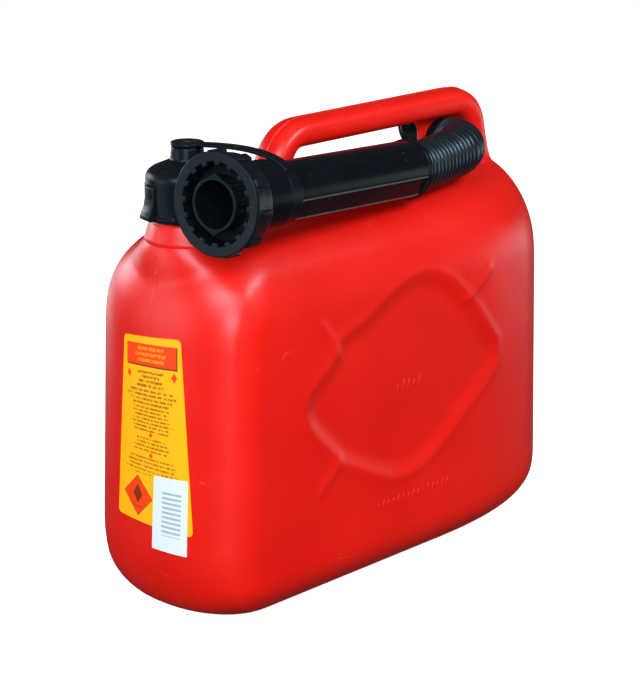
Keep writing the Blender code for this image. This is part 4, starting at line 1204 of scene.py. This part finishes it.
def buildSticker(name, node, key):
    size = labels[key]
    corner, height = size["corner"], size["height"]
    arc = [corner * (1 - cos(pi / 2 * i / 5)) for i in range(5)]
    rows = [-height / 2 + a for a in arc] + list(np.linspace(-height / 2 + corner, height / 2 - corner, 70))
    rows += [height / 2 - a for a in reversed(arc)]
    bm = bmesh.new()
    layer = bm.loops.layers.uv.new("print")
    spots, grids = {}, []
    for lift in (size["lift"], size["lift"] + size["film"]):
        grid = []
        for row in rows:
            into, rise = max(0.0, corner - (height / 2 - abs(row))), row / height + 0.5
            cut = corner - sqrt(max(0.0, corner**2 - into**2))
            half = (size["base"] + (size["top"] - size["base"]) * rise) / 2 - cut
            line = []
            for share in np.linspace(-1, 1, 41):
                y = size["foot"] + (size["head"] - size["foot"]) * rise + half * share
                tilt = size["tilt"][0] + (size["tilt"][1] - size["tilt"][0]) * rise
                z = size["middle"] + row + share * tilt
                place, normal, _, _ = canTree.ray_cast(Vector((-0.4, y, z)), Vector((1, 0, 0)))
                vert = bm.verts.new(place + normal * lift)
                spots[vert] = (-half * share * 10, row * 10)
                line.append(vert)
            grid.append(line)
        grids.append(grid)
    for grid in grids:
        for low, high in zip(grid, grid[1:]):
            for i in range(len(low) - 1):
                bm.faces.new((low[i], low[i + 1], high[i + 1], high[i]))
    under, over = [g[0] + [r[-1] for r in g[1:-1]] + g[-1][::-1] + [r[0] for r in g[-2:0:-1]]
                   for g in grids]
    for i in range(len(under)):
        j = (i + 1) % len(under)
        bm.faces.new((under[i], under[j], over[j], over[i]))
    for face in bm.faces:
        for corner in face.loops:
            corner[layer].uv = spots[corner.vert]
    bmesh.ops.recalc_face_normals(bm, faces=bm.faces)
    mesh = bpy.data.meshes.new(name)
    bm.to_mesh(mesh)
    bm.free()
    piece = addPiece(name, mesh, printedFilm(name + "Print", key), 50)
    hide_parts(node)
    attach(piece, "can")


buildSticker("frontSticker", "front_label", "front")
buildSticker("smallSticker", "small_label", "small")
print("strap and stickers ready")


# The studio: a pale floor, soft lights and the photograph's camera
studio = {"azimuth": -47.0, "elevation": 16.5, "distance": 1.27, "target": (-0.017, 0.0, 0.115),
          "lens": 118.3, "sensor": 36.0, "floor": colour(0.80, 0.80, 0.80), "floorGlow": 0.9, "world": 0.05}
# Each soft light: degrees round from -Y towards +X, degrees up, distance, size and power
lightTint = (0.92, 0.97, 1.0)
softLights = {"keySoftbox": (-70, 37, 1.9, (1.1, 0.75), 26.0), "sideFill": (12, 42, 2.1, (1.3, 0.7), 36.0),
              "topSoftbox": (120, 84, 1.9, (0.8, 0.4), 1.0), "frontFill": (-48, 10, 2.0, (1.2, 0.7), 25.0),
              "farSoftbox": (-168, 13, 1.5, (0.8, 0.35), 7.0), "leftFill": (-120, 6, 2.0, (1.2, 1.0), 8.5),
              "rightFill": (74, -4, 2.2, (1.2, 0.6), 4.0), "rearFill": (172, -6, 2.2, (1.2, 0.6), 4.0),
              "cornerGlow": (-34, 32, 2.0, (0.5, 0.3), 3.0)}


def paleFloor():
    made = Finish("paleFloor", IOR=1.4, Emission_Color=colour(1.0, 1.0, 1.0),
                  Emission_Strength=studio["floorGlow"])
    spot = made.place()
    base = made.blend(made.noise(spot, 3.0, 3.0), studio["floor"], colour(0.84, 0.84, 0.84))
    made.feed(Base_Color=base, Roughness=0.75 + made.noise(spot, 40.0) * 0.1)
    bm = bmesh.new()
    bmesh.ops.create_grid(bm, x_segments=2, y_segments=2, size=6.0)
    mesh = bpy.data.meshes.new("studioFloor")
    bm.to_mesh(mesh)
    bm.free()
    floor = addPiece("studioFloor", mesh, made.material)
    bm = bmesh.new()
    bmesh.ops.create_uvsphere(bm, u_segments=48, v_segments=24, radius=5.9)
    backdrop = addPiece("studioBackdrop", meshFrom("studioBackdrop", bm), made.material)
    for stage in (floor, backdrop):  # seen by the camera, but the can doesn't pick up their white
        stage.visible_diffuse = stage.visible_glossy = stage.visible_shadow = False


def wayTo(azimuth, elevation):
    around, up = radians(azimuth), radians(elevation)
    return Vector((sin(around) * cos(up), -cos(around) * cos(up), sin(up)))


def softLight(name, azimuth, elevation, distance, size, power):
    data = bpy.data.lights.new(name, "AREA")
    data.shape, data.energy, data.color = "RECTANGLE", power, lightTint
    data.size, data.size_y = size
    light, away = placed(name, data), wayTo(azimuth, elevation)
    light.location = Vector(studio["target"]) + away * distance
    light.rotation_euler = (-away).to_track_quat("-Z", "Y").to_euler()


def buildStudio():
    paleFloor()
    world = bpy.data.worlds.new("studio")
    bpy.context.scene.world = world
    world.use_nodes = True
    sky = world.node_tree.nodes["Background"].inputs
    sky["Color"].default_value, sky["Strength"].default_value = colour(1.0, 1.0, 1.0), studio["world"]
    for name, numbers in softLights.items():
        softLight(name, *numbers)
    azimuth, back = radians(studio["azimuth"]), wayTo(studio["azimuth"], studio["elevation"])
    data = bpy.data.cameras.new("photoCamera")
    data.lens, data.sensor_width, data.sensor_fit = studio["lens"], studio["sensor"], "AUTO"
    camera = placed("photoCamera", data)
    across = Vector((cos(azimuth), sin(azimuth), 0))
    turn = Matrix((across, back.cross(across), back)).transposed().to_4x4()
    camera.matrix_world = Matrix.Translation(Vector(studio["target"]) + back * studio["distance"]) @ turn
    data.clip_start, data.clip_end = 0.01, 50.0
    bpy.context.scene.camera = camera
    bpy.context.scene.view_settings.view_transform = "Standard"


buildStudio()
print("studio ready")

bpy.context.view_layer.update()
